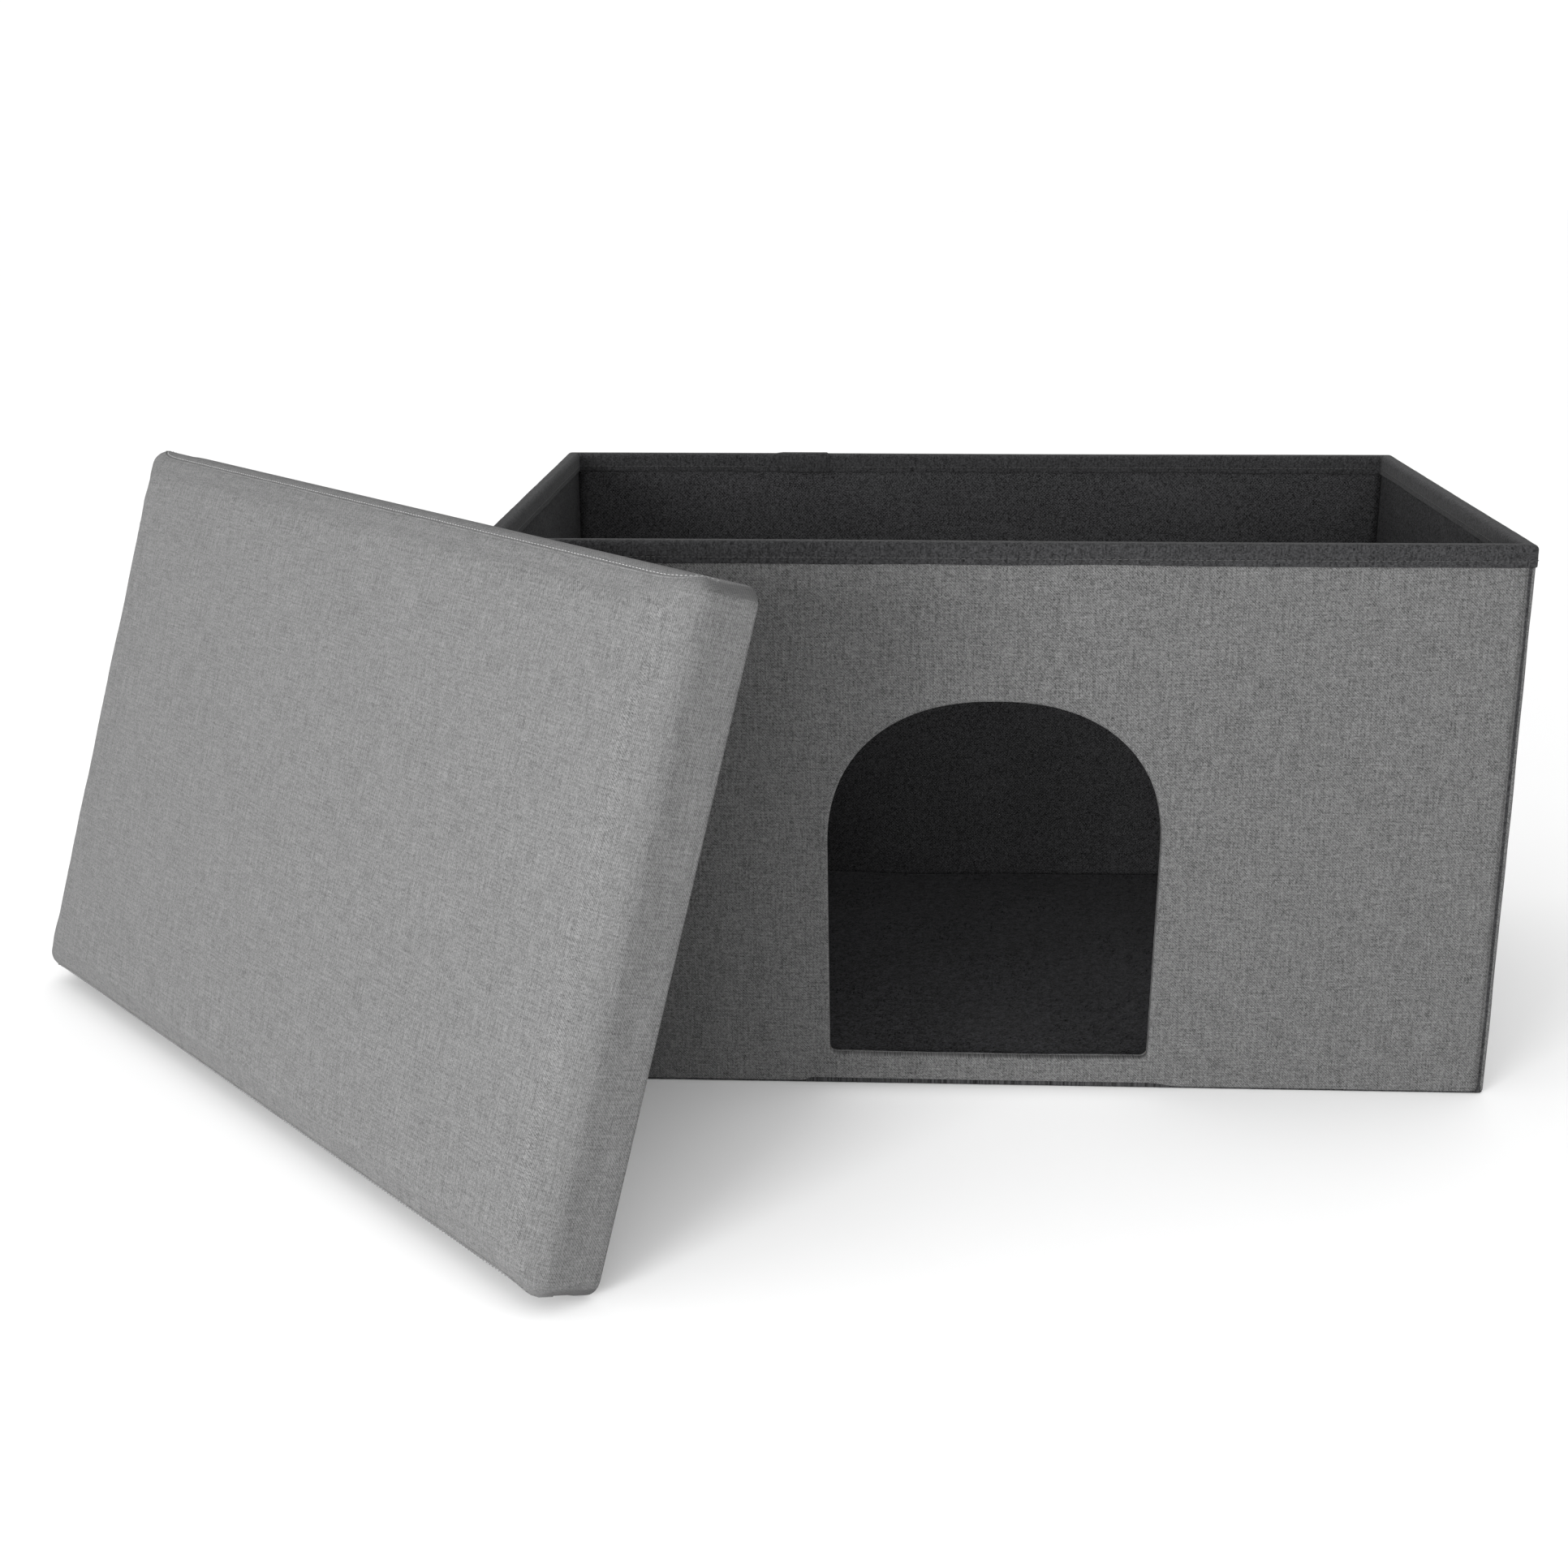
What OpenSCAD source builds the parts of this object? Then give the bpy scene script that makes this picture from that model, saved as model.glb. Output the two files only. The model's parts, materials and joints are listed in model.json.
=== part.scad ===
// Collapsible fabric storage ottoman with an arched doorway in its front wall.
// The open box stands on the floor, its loose padded lid leans on the front left corner,
// and a fleece pad lies on a loose base board inside. Units are millimetres, +Z is up,
// and the origin is the centre of the box's underside.

/* [Box] */
// Width of the box over its outer cloth
box_w = 660; // [560:10:760]
// Depth of the box over its outer cloth
box_d = 400; // [360:10:480]
// Height of the box from the floor to the rim
box_h = 370; // [330:5:430]
// Thickness of the fibreboard stiffener in each wall
board_t = 6; // [4:0.5:9]
// Thickness of the outer linen-look cloth
cover_t = 1.5; // [0.8:0.1:2.5]
// Thickness of the inside non-woven lining
lining_t = 1.2; // [0.6:0.1:2]
// Width of the gap between the two halves of a side wall's board, at the fold crease
crease_gap = 4; // [2:1:8]

/* [Rim and seams] */
// Height of the binding tape's legs below the rim
binding_h = 14; // [8:1:24]
// Thickness of the binding tape
binding_t = 1; // [0.6:0.1:2]
// Distance of each corner seam from the box's corner
seam_inset = 6; // [4:1:12]

/* [Doorway] */
// Width of the doorway at the sill
door_sill_w = 211; // [160:1:240]
// Greatest width of the doorway, where the arch springs
door_w = 217; // [170:1:246]
// Height of the sill above the floor
sill_h = 21; // [20:1:40]
// Height at which the arch springs
spring_h = 169; // [120:1:190]
// Height of the top of the arch
door_top_h = 267; // [220:1:300]
// Squareness of the arch, where 2 is an ellipse
arch_power = 2.3; // [2:0.1:4]

/* [Base and pad] */
// Thickness of the cloth under the box
bottom_cloth_t = 1.2; // [0.8:0.1:2]
// Thickness of the loose base board over its wrap
base_t = 5; // [4:0.5:6]
// Thickness of the fleece pad over its cover
pad_t = 11.6; // [8:0.2:12]
// Clearance between the walls and the loose base board and pad
base_gap = 3; // [2:0.5:8]

/* [Lid] */
// Thickness of the padded lid at its edges
lid_t = 45; // [36:1:60]
// Corner radius of the lid in plan
lid_corner_r = 22; // [12:1:40]
// Thickness of the lid's board
lid_board_t = 6; // [4:0.5:9]
// Width of the cover's margin turned under the lid board
turn_under = 26; // [20:1:40]
// Sideways place of the leaning lid's lower right corner
lid_foot_x = -226; // [-240:1:-200]
// Place along the depth of the leaning lid's lower right corner
lid_foot_y = -487; // [-520:1:-470]
// Turn of the leaning lid from the box's front, seen from above
lid_turn = 46.6; // [44:0.2:50]
// Number of staples along each long side of the lid's underside
staples_long = 11; // [5:1:15]
// Number of staples along each short side of the lid's underside
staples_short = 6; // [3:1:9]

/* [Hidden] */

linen = [0.48, 0.48, 0.48];
lining_black = [0.19, 0.19, 0.20];
tape_black = [0.27, 0.27, 0.28];
fleece_black = [0.15, 0.15, 0.16];
fibreboard = [0.55, 0.43, 0.30];
foam_white = [0.90, 0.89, 0.84];
steel = [0.75, 0.76, 0.78];

slack = 0.1;                                   // gap left between layers that touch
eps = 1;                                       // overshoot of a cut past a face
wall_t = cover_t + board_t + lining_t + 2 * slack;
wall_z = bottom_cloth_t + slack;               // foot of every wall layer
rim_z = box_h - binding_t - slack;             // top of every wall layer
wall_h = rim_z - wall_z;
board_w = box_w - 2 * cover_t - 2 * slack;     // front and back boards
board_face = box_d / 2 - cover_t - slack;      // outer face of the front and back boards
side_run = 2 * (board_face - board_t - slack); // length of a side wall between those boards
lining_w = box_w - 2 * (cover_t + slack + board_t + slack);
inner_w = box_w - 2 * wall_t;
inner_d = box_d - 2 * wall_t;
hem_t = 1.2;                                   // thickness of the cloth turned round the doorway
arch_steps = 40;                               // straight steps in the arch
sill_corner_r = 7;
seam_w = 2;
seam_proud = 0.6;
wrap_t = 0.8;                                  // cloth round the base board
pad_cloth_t = 2.5;                             // fleece with its pile
base_z = bottom_cloth_t + 2 * slack;
pad_z = base_z + base_t + 2 * slack;
lid_cloth_t = 1.4;
underside_t = 1;
staple_crown = 11;
staple_wire = 0.8;
staple_leg = 5;
staple_inset = 15;
rest_gap = 0.5;                                // air between the leaning lid and the rim's corner

// Lean of the lid, from the floor point to the rim's front left corner
lean_x = -box_w / 2 - binding_t;
lean_y = -box_d / 2 - binding_t;
lean_run = (lean_x - lid_foot_x) * sin(lid_turn) + (lean_y - lid_foot_y) * cos(lid_turn);
lid_lean = atan((lean_run - rest_gap) / box_h);

// ---- Shared shapes ----

// A box given by its lowest corner and size
module block(low, size) {
    translate(low) cube(size);
}

// An upright panel centred on x, that starts at y0 and is thick towards the back
module upright(width, thick, y0) {
    translate([-width / 2, y0, wall_z]) cube([width, thick, wall_h]);
}

// A point on the arch, a power curve, at angle a from its right spring
function arch_point(a, half, rise, grow) = [
    (half + grow) * sign(cos(a)) * pow(abs(cos(a)), 2 / arch_power),
    spring_h + (rise + grow) * pow(abs(sin(a)), 2 / arch_power)
];

// Rounded lower corner of the doorway, on side s
function sill_corner(s, grow) = [
    for (i = [0:4])
        let (a = s > 0 ? -90 + 22.5 * i : 180 + 22.5 * i)
        [
            s * (door_sill_w / 2 + grow - sill_corner_r) + sill_corner_r * cos(a),
            sill_h - grow + sill_corner_r + sill_corner_r * sin(a)
        ]
];

// The doorway's outline, widened by grow
module doorway(grow) {
    rise = door_top_h - spring_h;
    polygon(concat(
        sill_corner(1, grow),
        [for (i = [0:arch_steps]) arch_point(180 * i / arch_steps, door_w / 2, rise, grow)],
        sill_corner(-1, grow)
    ));
}

// The doorway's outline as a solid through the front wall, over the depth from y0 to y1
module doorway_cut(y0, y1, grow = 0) {
    translate([0, y1, 0]) rotate([90, 0, 0]) linear_extrude(y1 - y0) doorway(grow);
}

// A flat slab with rounded corners, over [-w, 0] x [0, d], inset on every side
module lid_slab(inset, z0, z1) {
    r = max(lid_corner_r - inset, 2);
    translate([0, 0, z0]) linear_extrude(z1 - z0) union() {
        translate([-box_w + inset + r, inset]) square([box_w - 2 * inset - 2 * r, box_d - 2 * inset]);
        translate([-box_w + inset, inset + r]) square([box_w - 2 * inset, box_d - 2 * inset - 2 * r]);
        for (x = [-box_w + inset + r, -inset - r], y = [inset + r, box_d - inset - r])
            translate([x, y]) circle(r, $fn = 48);
    }
}

// Moves a piece from the lid's own frame to where the lid leans
module leaning() {
    translate([lid_foot_x, lid_foot_y, 0]) rotate([90 - lid_lean, 0, -lid_turn]) children();
}

// ---- Walls ----

module front_board() {
    color(fibreboard) difference() {
        upright(board_w, board_t, -board_face);
        doorway_cut(-box_d, 0, hem_t + slack);
    }
}

module back_board() {
    color(fibreboard) upright(board_w, board_t, board_face - board_t);
}

// Half a side wall's board; side is -1 for left and 1 for right, half is -1 for front and 1 for rear
module side_board(side, half) {
    length = (side_run - crease_gap) / 2;
    x = side > 0 ? board_w / 2 - board_t : -board_w / 2;
    y = half > 0 ? crease_gap / 2 : -crease_gap / 2 - length;
    color(fibreboard) block([x, y, wall_z], [board_t, length, wall_h]);
}

module front_cover() {
    color(linen) difference() {
        upright(box_w, cover_t, -box_d / 2);
        doorway_cut(-box_d, 0, hem_t + slack);
    }
}

module back_cover() {
    color(linen) upright(box_w, cover_t, box_d / 2 - cover_t);
}

module side_cover(side) {
    x = side > 0 ? box_w / 2 - cover_t : -box_w / 2;
    length = box_d - 2 * cover_t - 2 * slack;
    color(linen) block([x, -length / 2, wall_z], [cover_t, length, wall_h]);
}

module front_lining() {
    color(lining_black) difference() {
        upright(lining_w, lining_t, -inner_d / 2 - lining_t);
        doorway_cut(-box_d, 0, hem_t + slack);
    }
}

module back_lining() {
    color(lining_black) upright(lining_w, lining_t, inner_d / 2);
}

module side_lining(side) {
    x = side > 0 ? inner_w / 2 : -inner_w / 2 - lining_t;
    length = inner_d - 2 * slack;
    color(lining_black) block([x, -length / 2, wall_z], [lining_t, length, wall_h]);
}

// ---- Rim, doorway and seams ----

// Tape folded over the rim all the way round
module rim_binding() {
    leg_z = box_h - binding_h;
    color(tape_black) difference() {
        block([-box_w / 2 - binding_t, -box_d / 2 - binding_t, leg_z],
            [box_w + 2 * binding_t, box_d + 2 * binding_t, binding_h]);
        block([-inner_w / 2 + binding_t, -inner_d / 2 + binding_t, leg_z - eps],
            [inner_w - 2 * binding_t, inner_d - 2 * binding_t, binding_h + 2 * eps]);
        difference() {
            block([-box_w / 2, -box_d / 2, leg_z - eps], [box_w, box_d, box_h - binding_t - leg_z + eps]);
            block([-inner_w / 2, -inner_d / 2, leg_z - 2 * eps], [inner_w, inner_d, binding_h + 2 * eps]);
        }
    }
}

// Cloth turned round the edge of the doorway, through the whole wall
module doorway_hem() {
    face = box_d / 2;
    color(linen) difference() {
        doorway_cut(-face, -face + wall_t, hem_t);
        doorway_cut(-face - eps, -face + wall_t + eps);
    }
}

// Four upright stitched seams, one near each corner on the front and back faces
module corner_seams() {
    seam_z = wall_z + slack;
    color(tape_black)
        for (side = [-1, 1], y = [-box_d / 2 - seam_proud, box_d / 2])
            block([side * (box_w / 2 - seam_inset) - seam_w / 2, y, seam_z],
                [seam_w, seam_proud, box_h - binding_h - seam_z - slack]);
}

module bottom_cloth() {
    color(lining_black) block([-box_w / 2, -box_d / 2, 0], [box_w, box_d, bottom_cloth_t]);
}

// ---- Base board and pad ----

// A flat block inside the walls, with an equal gap all round
module inside_block(gap, z, thick) {
    block([-inner_w / 2 + gap, -inner_d / 2 + gap, z], [inner_w - 2 * gap, inner_d - 2 * gap, thick]);
}

module base_board_core() {
    gap = base_gap + wrap_t + slack;
    color(fibreboard) inside_block(gap, base_z + wrap_t + slack, base_t - 2 * wrap_t - 2 * slack);
}

module base_board_wrap() {
    color(lining_black) difference() {
        inside_block(base_gap, base_z, base_t);
        inside_block(base_gap + wrap_t, base_z + wrap_t, base_t - 2 * wrap_t);
    }
}

module pad_foam() {
    gap = base_gap + pad_cloth_t + slack;
    color(foam_white) inside_block(gap, pad_z + pad_cloth_t + slack, pad_t - 2 * pad_cloth_t - 2 * slack);
}

module pad_cover() {
    color(fleece_black) difference() {
        inside_block(base_gap, pad_z, pad_t);
        inside_block(base_gap + pad_cloth_t, pad_z + pad_cloth_t, pad_t - 2 * pad_cloth_t);
    }
}

// ---- Lid, in its own frame: underside at z = 0, padded face at z = lid_t ----

module lid_board() {
    inset = lid_cloth_t + slack;
    color(fibreboard) leaning() lid_slab(inset, inset, inset + lid_board_t);
}

module lid_foam() {
    inset = lid_cloth_t + slack;
    color(foam_white) leaning() lid_slab(inset, inset + lid_board_t + slack, lid_t - inset);
}

// Closed cover over the foam and round the board's edge, with its margin turned under
module lid_cover() {
    color(linen) leaning() difference() {
        lid_slab(0, 0, lid_t);
        lid_slab(lid_cloth_t, lid_cloth_t, lid_t - lid_cloth_t);
        lid_slab(turn_under, -eps, lid_cloth_t + eps);
    }
}

// Non-woven sheet that closes the underside, inside the turned margin
module lid_underside() {
    color(lining_black) leaning() lid_slab(turn_under + slack, slack, slack + underside_t);
}

// One staple with its crown in the cover's margin and its legs in the board, along X
module staple() {
    block([-staple_crown / 2, -staple_wire / 2, slack], [staple_crown, staple_wire, staple_wire]);
    for (x = [-staple_crown / 2, staple_crown / 2 - staple_wire])
        block([x, -staple_wire / 2, slack], [staple_wire, staple_wire, staple_leg]);
}

module lid_staples() {
    run_x = box_w - 2 * (lid_corner_r + staple_crown);
    run_y = box_d - 2 * (lid_corner_r + staple_crown);
    color(steel) leaning() {
        for (y = [staple_inset, box_d - staple_inset], i = [0:staples_long - 1])
            translate([-box_w / 2 - run_x / 2 + run_x * i / (staples_long - 1), y, 0]) staple();
        for (x = [-staple_inset, staple_inset - box_w], i = [0:staples_short - 1])
            translate([x, box_d / 2 - run_y / 2 + run_y * i / (staples_short - 1), 0])
                rotate([0, 0, 90]) staple();
    }
}

front_board();
back_board();
side_board(-1, -1);  // left_front_board
side_board(-1, 1);  // left_rear_board
side_board(1, -1);  // right_front_board
side_board(1, 1);  // right_rear_board
front_cover();
back_cover();
side_cover(-1);  // left_cover
side_cover(1);  // right_cover
front_lining();
back_lining();
side_lining(-1);  // left_lining
side_lining(1);  // right_lining
rim_binding();
doorway_hem();
corner_seams();
bottom_cloth();
base_board_core();
base_board_wrap();
pad_foam();
pad_cover();
lid_board();
lid_foam();
lid_cover();
lid_underside();
lid_staples();
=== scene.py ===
"""Looks of a folding storage ottoman.

An open cloth box with an arched doorway, its fleece pad, and its padded lid that leans on a corner.
"""

import json
import logging
import math
from dataclasses import dataclass, field
from enum import Enum
from typing import Callable, Sequence, Union

import bmesh
import bpy
import numpy as np
from mathutils import Matrix, Vector
from mathutils.bvhtree import BVHTree
from mathutils.kdtree import KDTree


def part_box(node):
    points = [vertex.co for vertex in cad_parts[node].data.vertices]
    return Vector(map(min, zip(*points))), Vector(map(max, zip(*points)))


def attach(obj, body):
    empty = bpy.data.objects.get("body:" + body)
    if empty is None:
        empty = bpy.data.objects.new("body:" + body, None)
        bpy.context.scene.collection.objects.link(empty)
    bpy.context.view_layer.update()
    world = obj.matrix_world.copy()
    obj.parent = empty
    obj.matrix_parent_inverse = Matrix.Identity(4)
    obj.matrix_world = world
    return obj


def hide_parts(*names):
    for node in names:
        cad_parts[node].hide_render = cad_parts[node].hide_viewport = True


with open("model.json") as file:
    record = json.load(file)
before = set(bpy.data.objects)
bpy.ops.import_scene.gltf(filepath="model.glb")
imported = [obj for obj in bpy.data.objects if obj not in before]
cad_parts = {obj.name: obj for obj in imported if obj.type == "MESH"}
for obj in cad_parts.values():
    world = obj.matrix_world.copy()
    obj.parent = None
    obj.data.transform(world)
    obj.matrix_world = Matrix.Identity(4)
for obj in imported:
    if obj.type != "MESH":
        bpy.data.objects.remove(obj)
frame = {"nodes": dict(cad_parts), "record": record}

log = logging.getLogger("ottoman")
CLOTH_MAP = "cloth"
MM = 0.001
SEED = 20


class Body(Enum):
    """The rigid bodies that the pieces ride on."""

    BOX = "box"
    BASE = "base_board"
    PAD = "floor_pad"
    LID = "lid"


class Slot(Enum):
    """The record's material slots, named along with each new piece."""

    LINEN = "linen_cloth"
    LINING = "lining_cloth"
    TAPE = "binding_tape"
    FLEECE = "fleece"
    LID = "lid_cloth"


# ---------------------------------------------------------------------------
# Shader maths
# ---------------------------------------------------------------------------


class Number:
    """A number on its way through a material's nodes, which Python's operators work on."""

    def __init__(self, net: "Net", socket: bpy.types.NodeSocket) -> None:
        """Wraps one output socket of a net."""
        self.net = net
        self.socket = socket

    def math(self, operation: str, *others: "Term", clamp: bool = False) -> "Number":
        """Adds a Math node.

        Args:
            operation: the Math node's operation.
            others: the further inputs, numbers or wrapped sockets.
            clamp: whether the result is kept from 0 to 1.

        Returns:
            The wrapped result.
        """
        node = self.net.node("Math", {"operation": operation, "use_clamp": clamp},
                             dict(enumerate((self, *others))))
        return Number(self.net, node.outputs[0])

    def __add__(self, other: "Term") -> "Number":
        """Sum."""
        return self.math("ADD", other)

    __radd__ = __add__

    def __sub__(self, other: "Term") -> "Number":
        """Difference."""
        return self.math("SUBTRACT", other)

    def __rsub__(self, other: float) -> "Number":
        """Difference from a plain number."""
        return self.math("MULTIPLY", -1.0).math("ADD", other)

    def __mul__(self, other: "Term") -> "Number":
        """Product."""
        return self.math("MULTIPLY", other)

    __rmul__ = __mul__

    def __truediv__(self, other: "Term") -> "Number":
        """Quotient."""
        return self.math("DIVIDE", other)

    def __mod__(self, other: "Term") -> "Number":
        """Remainder that is never negative."""
        return self.math("FLOORED_MODULO", other)

    def __lt__(self, other: "Term") -> "Number":
        """1 where it is less than the other, else 0."""
        return self.math("LESS_THAN", other)

    def floor(self) -> "Number":
        """The whole number below."""
        return self.math("FLOOR")

    def fraction(self) -> "Number":
        """What is left above the whole number below."""
        return self.math("FRACT")

    def hump(self) -> "Number":
        """A rounded hump over each unit: 1 at its middle and 0 at its ends."""
        across = self.fraction() * 2.0 - 1.0
        return 1.0 - across * across

    def within(self, low: float, high: float) -> "Number":
        """Smooth step from 0 at low to 1 at high."""
        node = self.net.node(
            "MapRange", {"interpolation_type": "SMOOTHSTEP", "clamp": True},
            {"Value": self, "From Min": low, "From Max": high},
        )
        return Number(self.net, node.outputs[0])


Term = Union[Number, float]
Rgb = tuple[float, float, float]
Colour = Union[Rgb, bpy.types.NodeSocket]


def linear(grey: float) -> float:
    """The linear value of a display grey from 0 to 255."""
    value = grey / 255.0
    return value / 12.92 if value <= 0.04045 else ((value + 0.055) / 1.055) ** 2.4


def tone(grey: float, blue: float = 0.0) -> Rgb:
    """A linear near-grey colour from a display grey, a little bluer by the given amount."""
    return (linear(grey), linear(grey), linear(grey + blue))


class Net:
    """A material's node tree, built by name."""

    def __init__(self, name: str) -> None:
        """Makes an empty material with a shader and an output."""
        self.material = bpy.data.materials.new(name)
        self.material.use_nodes = True
        self.tree = self.material.node_tree
        self.tree.nodes.clear()
        self.shader = self.node("BsdfPrincipled", {}, {})
        self.node("OutputMaterial", {}, {"Surface": self.shader.outputs[0]})

    def node(self, kind: str, settings: dict, inputs: dict) -> bpy.types.Node:
        """Adds one node.

        Args:
            kind: the node's type, without the ShaderNode in front.
            settings: its properties, which are set first.
            inputs: socket names or places, each with a value, a wrapped number or a socket.

        Returns:
            The node.
        """
        node = self.tree.nodes.new(f"ShaderNode{kind}")
        for key, value in settings.items():
            setattr(node, key, value)
        self.feed(node, inputs)
        return node

    def feed(self, node: bpy.types.Node, inputs: dict) -> None:
        """Gives a node's sockets their values, or links them to wrapped numbers or other sockets."""
        for key, value in inputs.items():
            source = value.socket if isinstance(value, Number) else value
            if isinstance(source, bpy.types.NodeSocket):
                self.tree.links.new(source, node.inputs[key])
            else:
                node.inputs[key].default_value = source

    def number(self, node: bpy.types.Node, output: Union[int, str] = 0) -> Number:
        """Wraps one output of a node."""
        return Number(self, node.outputs[output])

    def cloth(self) -> tuple[Number, Number]:
        """The piece's own cloth coordinates, in metres across and along the cloth."""
        place = self.node("UVMap", {"uv_map": CLOTH_MAP}, {})
        split = self.node("SeparateXYZ", {}, {0: place.outputs[0]})
        return self.number(split, 0), self.number(split, 1)

    def place(self) -> bpy.types.NodeSocket:
        """The place on the object, in metres."""
        return self.node("TexCoord", {}, {}).outputs["Object"]

    def vector(self, x: Term, y: Term, z: Term = 0.0) -> bpy.types.NodeSocket:
        """Three numbers as one vector."""
        return self.node("CombineXYZ", {}, {0: x, 1: y, 2: z}).outputs[0]

    def noise(self, where: bpy.types.NodeSocket, scale: float, detail: float = 2.0) -> Number:
        """Smooth noise about a half."""
        node = self.node("TexNoise", {}, {"Vector": where, "Scale": scale, "Detail": detail})
        return self.number(node, 0)

    def speckle(self, where: bpy.types.NodeSocket) -> Number:
        """A random number from 0 to 1 for each place."""
        return self.number(self.node("TexWhiteNoise", {"noise_dimensions": "3D"}, {"Vector": where}), "Value")

    def grain(self, where: bpy.types.NodeSocket, size: float) -> Number:
        """A random number about zero, from -0.5 to 0.5, for each cell of the given size."""
        scaled = self.node("VectorMath", {"operation": "SCALE"}, {0: where, "Scale": 1.0 / size})
        cell = self.node("VectorMath", {"operation": "FLOOR"}, {0: scaled.outputs[0]})
        return self.speckle(cell.outputs[0]) - 0.5

    def tinted(self, colour: Rgb, amount: Number) -> bpy.types.NodeSocket:
        """A colour times a number."""
        node = self.node("VectorMath", {"operation": "SCALE"}, {0: colour, "Scale": amount})
        return node.outputs[0]

    def blend(self, factor: Term, first: "Colour", second: "Colour") -> bpy.types.NodeSocket:
        """Mixes two colours."""
        first, second = (c if isinstance(c, bpy.types.NodeSocket) else (*c, 1.0) for c in (first, second))
        node = self.node("Mix", {"data_type": "RGBA"}, {"Factor": factor, 6: first, 7: second})
        return node.outputs[2]

    def surface(self, colour: bpy.types.NodeSocket, height: Number, relief: float, roughness: Term,
                constants: dict) -> bpy.types.Material:
        """Finishes the material.

        Args:
            colour: the base colour.
            height: the relief's height, from 0 to about 1.
            relief: the relief's real height in metres where height is 1.
            roughness: the roughness.
            constants: further sockets of the shader, with plain values.

        Returns:
            The material.
        """
        bump = self.node("Bump", {}, {"Height": height, "Distance": relief, "Strength": 1.0})
        varying = {"Base Color": colour, "Roughness": roughness, "Normal": bump.outputs[0]}
        self.feed(self.shader, {**varying, **constants})
        return self.material


# ---------------------------------------------------------------------------
# Finishes
# ---------------------------------------------------------------------------


@dataclass(frozen=True)
class Linen:
    """Linen-look twill: light warp and dark weft threads with slubs in both."""

    name: str
    grey: float
    pitch: float = 0.58 * MM
    contrast: float = 0.5
    slub: float = 0.6
    tweed: float = 0.7
    relief: float = 0.14 * MM

    def material(self) -> bpy.types.Material:
        """Builds the twill.

        Each thread has a tone of its own, and the warp passes over the weft at two places of every three, one
        place further on in each row. Thicker yarns show as long fine streaks.
        """
        net = Net(self.name)
        across, along = net.cloth()
        wobble = (net.noise(net.vector(across, along), 60.0) - 0.5) * (0.6 * MM)
        u = (across + wobble) / self.pitch
        v = (along + wobble) / self.pitch
        warp_over = (u.floor() + v.floor()) % 3.0 < 1.5
        warp_slub = net.noise(net.vector(u.floor() * 5.77, v * 0.03), 1.0, 3.0) - 0.5
        weft_slub = net.noise(net.vector(u * 0.04, v.floor() * 5.77, 3.0), 1.0, 3.0) - 0.5
        upright = net.noise(net.vector(across / (1.1 * MM), along / (24 * MM)), 1.0, 2.0) - 0.5
        level = net.noise(net.vector(across / (20 * MM), along / (1.1 * MM), 5.0), 1.0, 2.0) - 0.5
        fleck = net.speckle(net.vector(u.floor(), v.floor())) - 0.5
        cloud = net.noise(net.vector(across, along), 14.0, 3.0) - 0.5
        light = 1.0 + self.contrast * 0.42 + warp_slub * self.slub
        dark = 1.0 - self.contrast * 0.55 + weft_slub * self.slub
        threads = dark + (light - dark) * warp_over
        streaks = (upright + level) * self.slub * 1.5
        mixed = net.grain(net.vector(across, along), 1.5 * self.pitch)
        shade = threads + streaks + fleck * (self.contrast * 0.8) + mixed * self.tweed + cloud * 0.10
        height = v.hump() + (u.hump() - v.hump()) * warp_over + fleck * 0.4 + streaks
        colour = net.tinted(tone(self.grey), shade)
        return net.surface(colour, height, self.relief, 0.86 + fleck * 0.08,
                           {"Sheen Weight": 0.05, "Sheen Roughness": 0.6, "Specular IOR Level": 0.15})


@dataclass(frozen=True)
class NonWoven:
    """Spun lining felt, pressed with small diamonds."""

    name: str
    grey: float
    diamond: float = 2.4 * MM
    relief: float = 0.25 * MM

    def material(self) -> bpy.types.Material:
        """Builds rows of pressed diamonds over short matted fibres."""
        net = Net(self.name)
        across, along = net.cloth()
        u = (across + along) / self.diamond
        v = (across - along) / self.diamond
        bond = (u.hump() * v.hump()).within(0.25, 0.7)
        place = net.vector(across, along)
        fibre = net.noise(place, 700.0, 4.0) - 0.5
        mat = net.noise(place, 260.0, 4.0) - 0.5
        cloud = net.noise(place, 9.0, 3.0) - 0.5
        rub = net.noise(net.vector(across * 0.6, along * 2.0), 30.0, 4.0).within(0.52, 0.75)
        grain = net.grain(place, 0.8 * MM)
        shade = 0.80 + bond * 0.35 + fibre * 1.1 + mat * 0.9 + grain * 1.2 + cloud * 0.35 + rub * 0.16
        height = bond * 0.7 + fibre + mat * 0.6
        return net.surface(net.tinted(tone(self.grey, 1.0), shade), height, self.relief, 0.85 + fibre * 0.2,
                           {"Specular IOR Level": 0.12})


@dataclass(frozen=True)
class BrushedTape:
    """Brushed binding tape with faint cross ribs and matted fibres."""

    name: str
    grey: float
    rib: float = 2.6 * MM

    def material(self) -> bpy.types.Material:
        """Builds cross ribs that break up in the brushed pile."""
        net = Net(self.name)
        across, along = net.cloth()
        place = net.vector(across, along)
        fibre = net.noise(place, 900.0, 4.0) - 0.5
        mat = net.noise(place, 330.0, 4.0) - 0.5
        lean = net.noise(net.vector(across * 0.35, along), 380.0, 3.0) - 0.5
        rib = ((along + lean * (1.6 * MM)) / self.rib).hump()
        cloud = net.noise(place, 26.0, 3.0) - 0.5
        grain = net.grain(place, 0.8 * MM)
        shade = 0.86 + rib * 0.14 + fibre * 1.2 + mat * 1.3 + grain * 0.9 + lean * 0.6 + cloud * 0.3
        height = rib * 0.3 + fibre + mat + lean * 0.6
        return net.surface(net.tinted(tone(self.grey, 1.0), shade), height, 0.35 * MM, 0.95,
                           {"Sheen Weight": 0.06, "Sheen Roughness": 0.5, "Specular IOR Level": 0.1})


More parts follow.
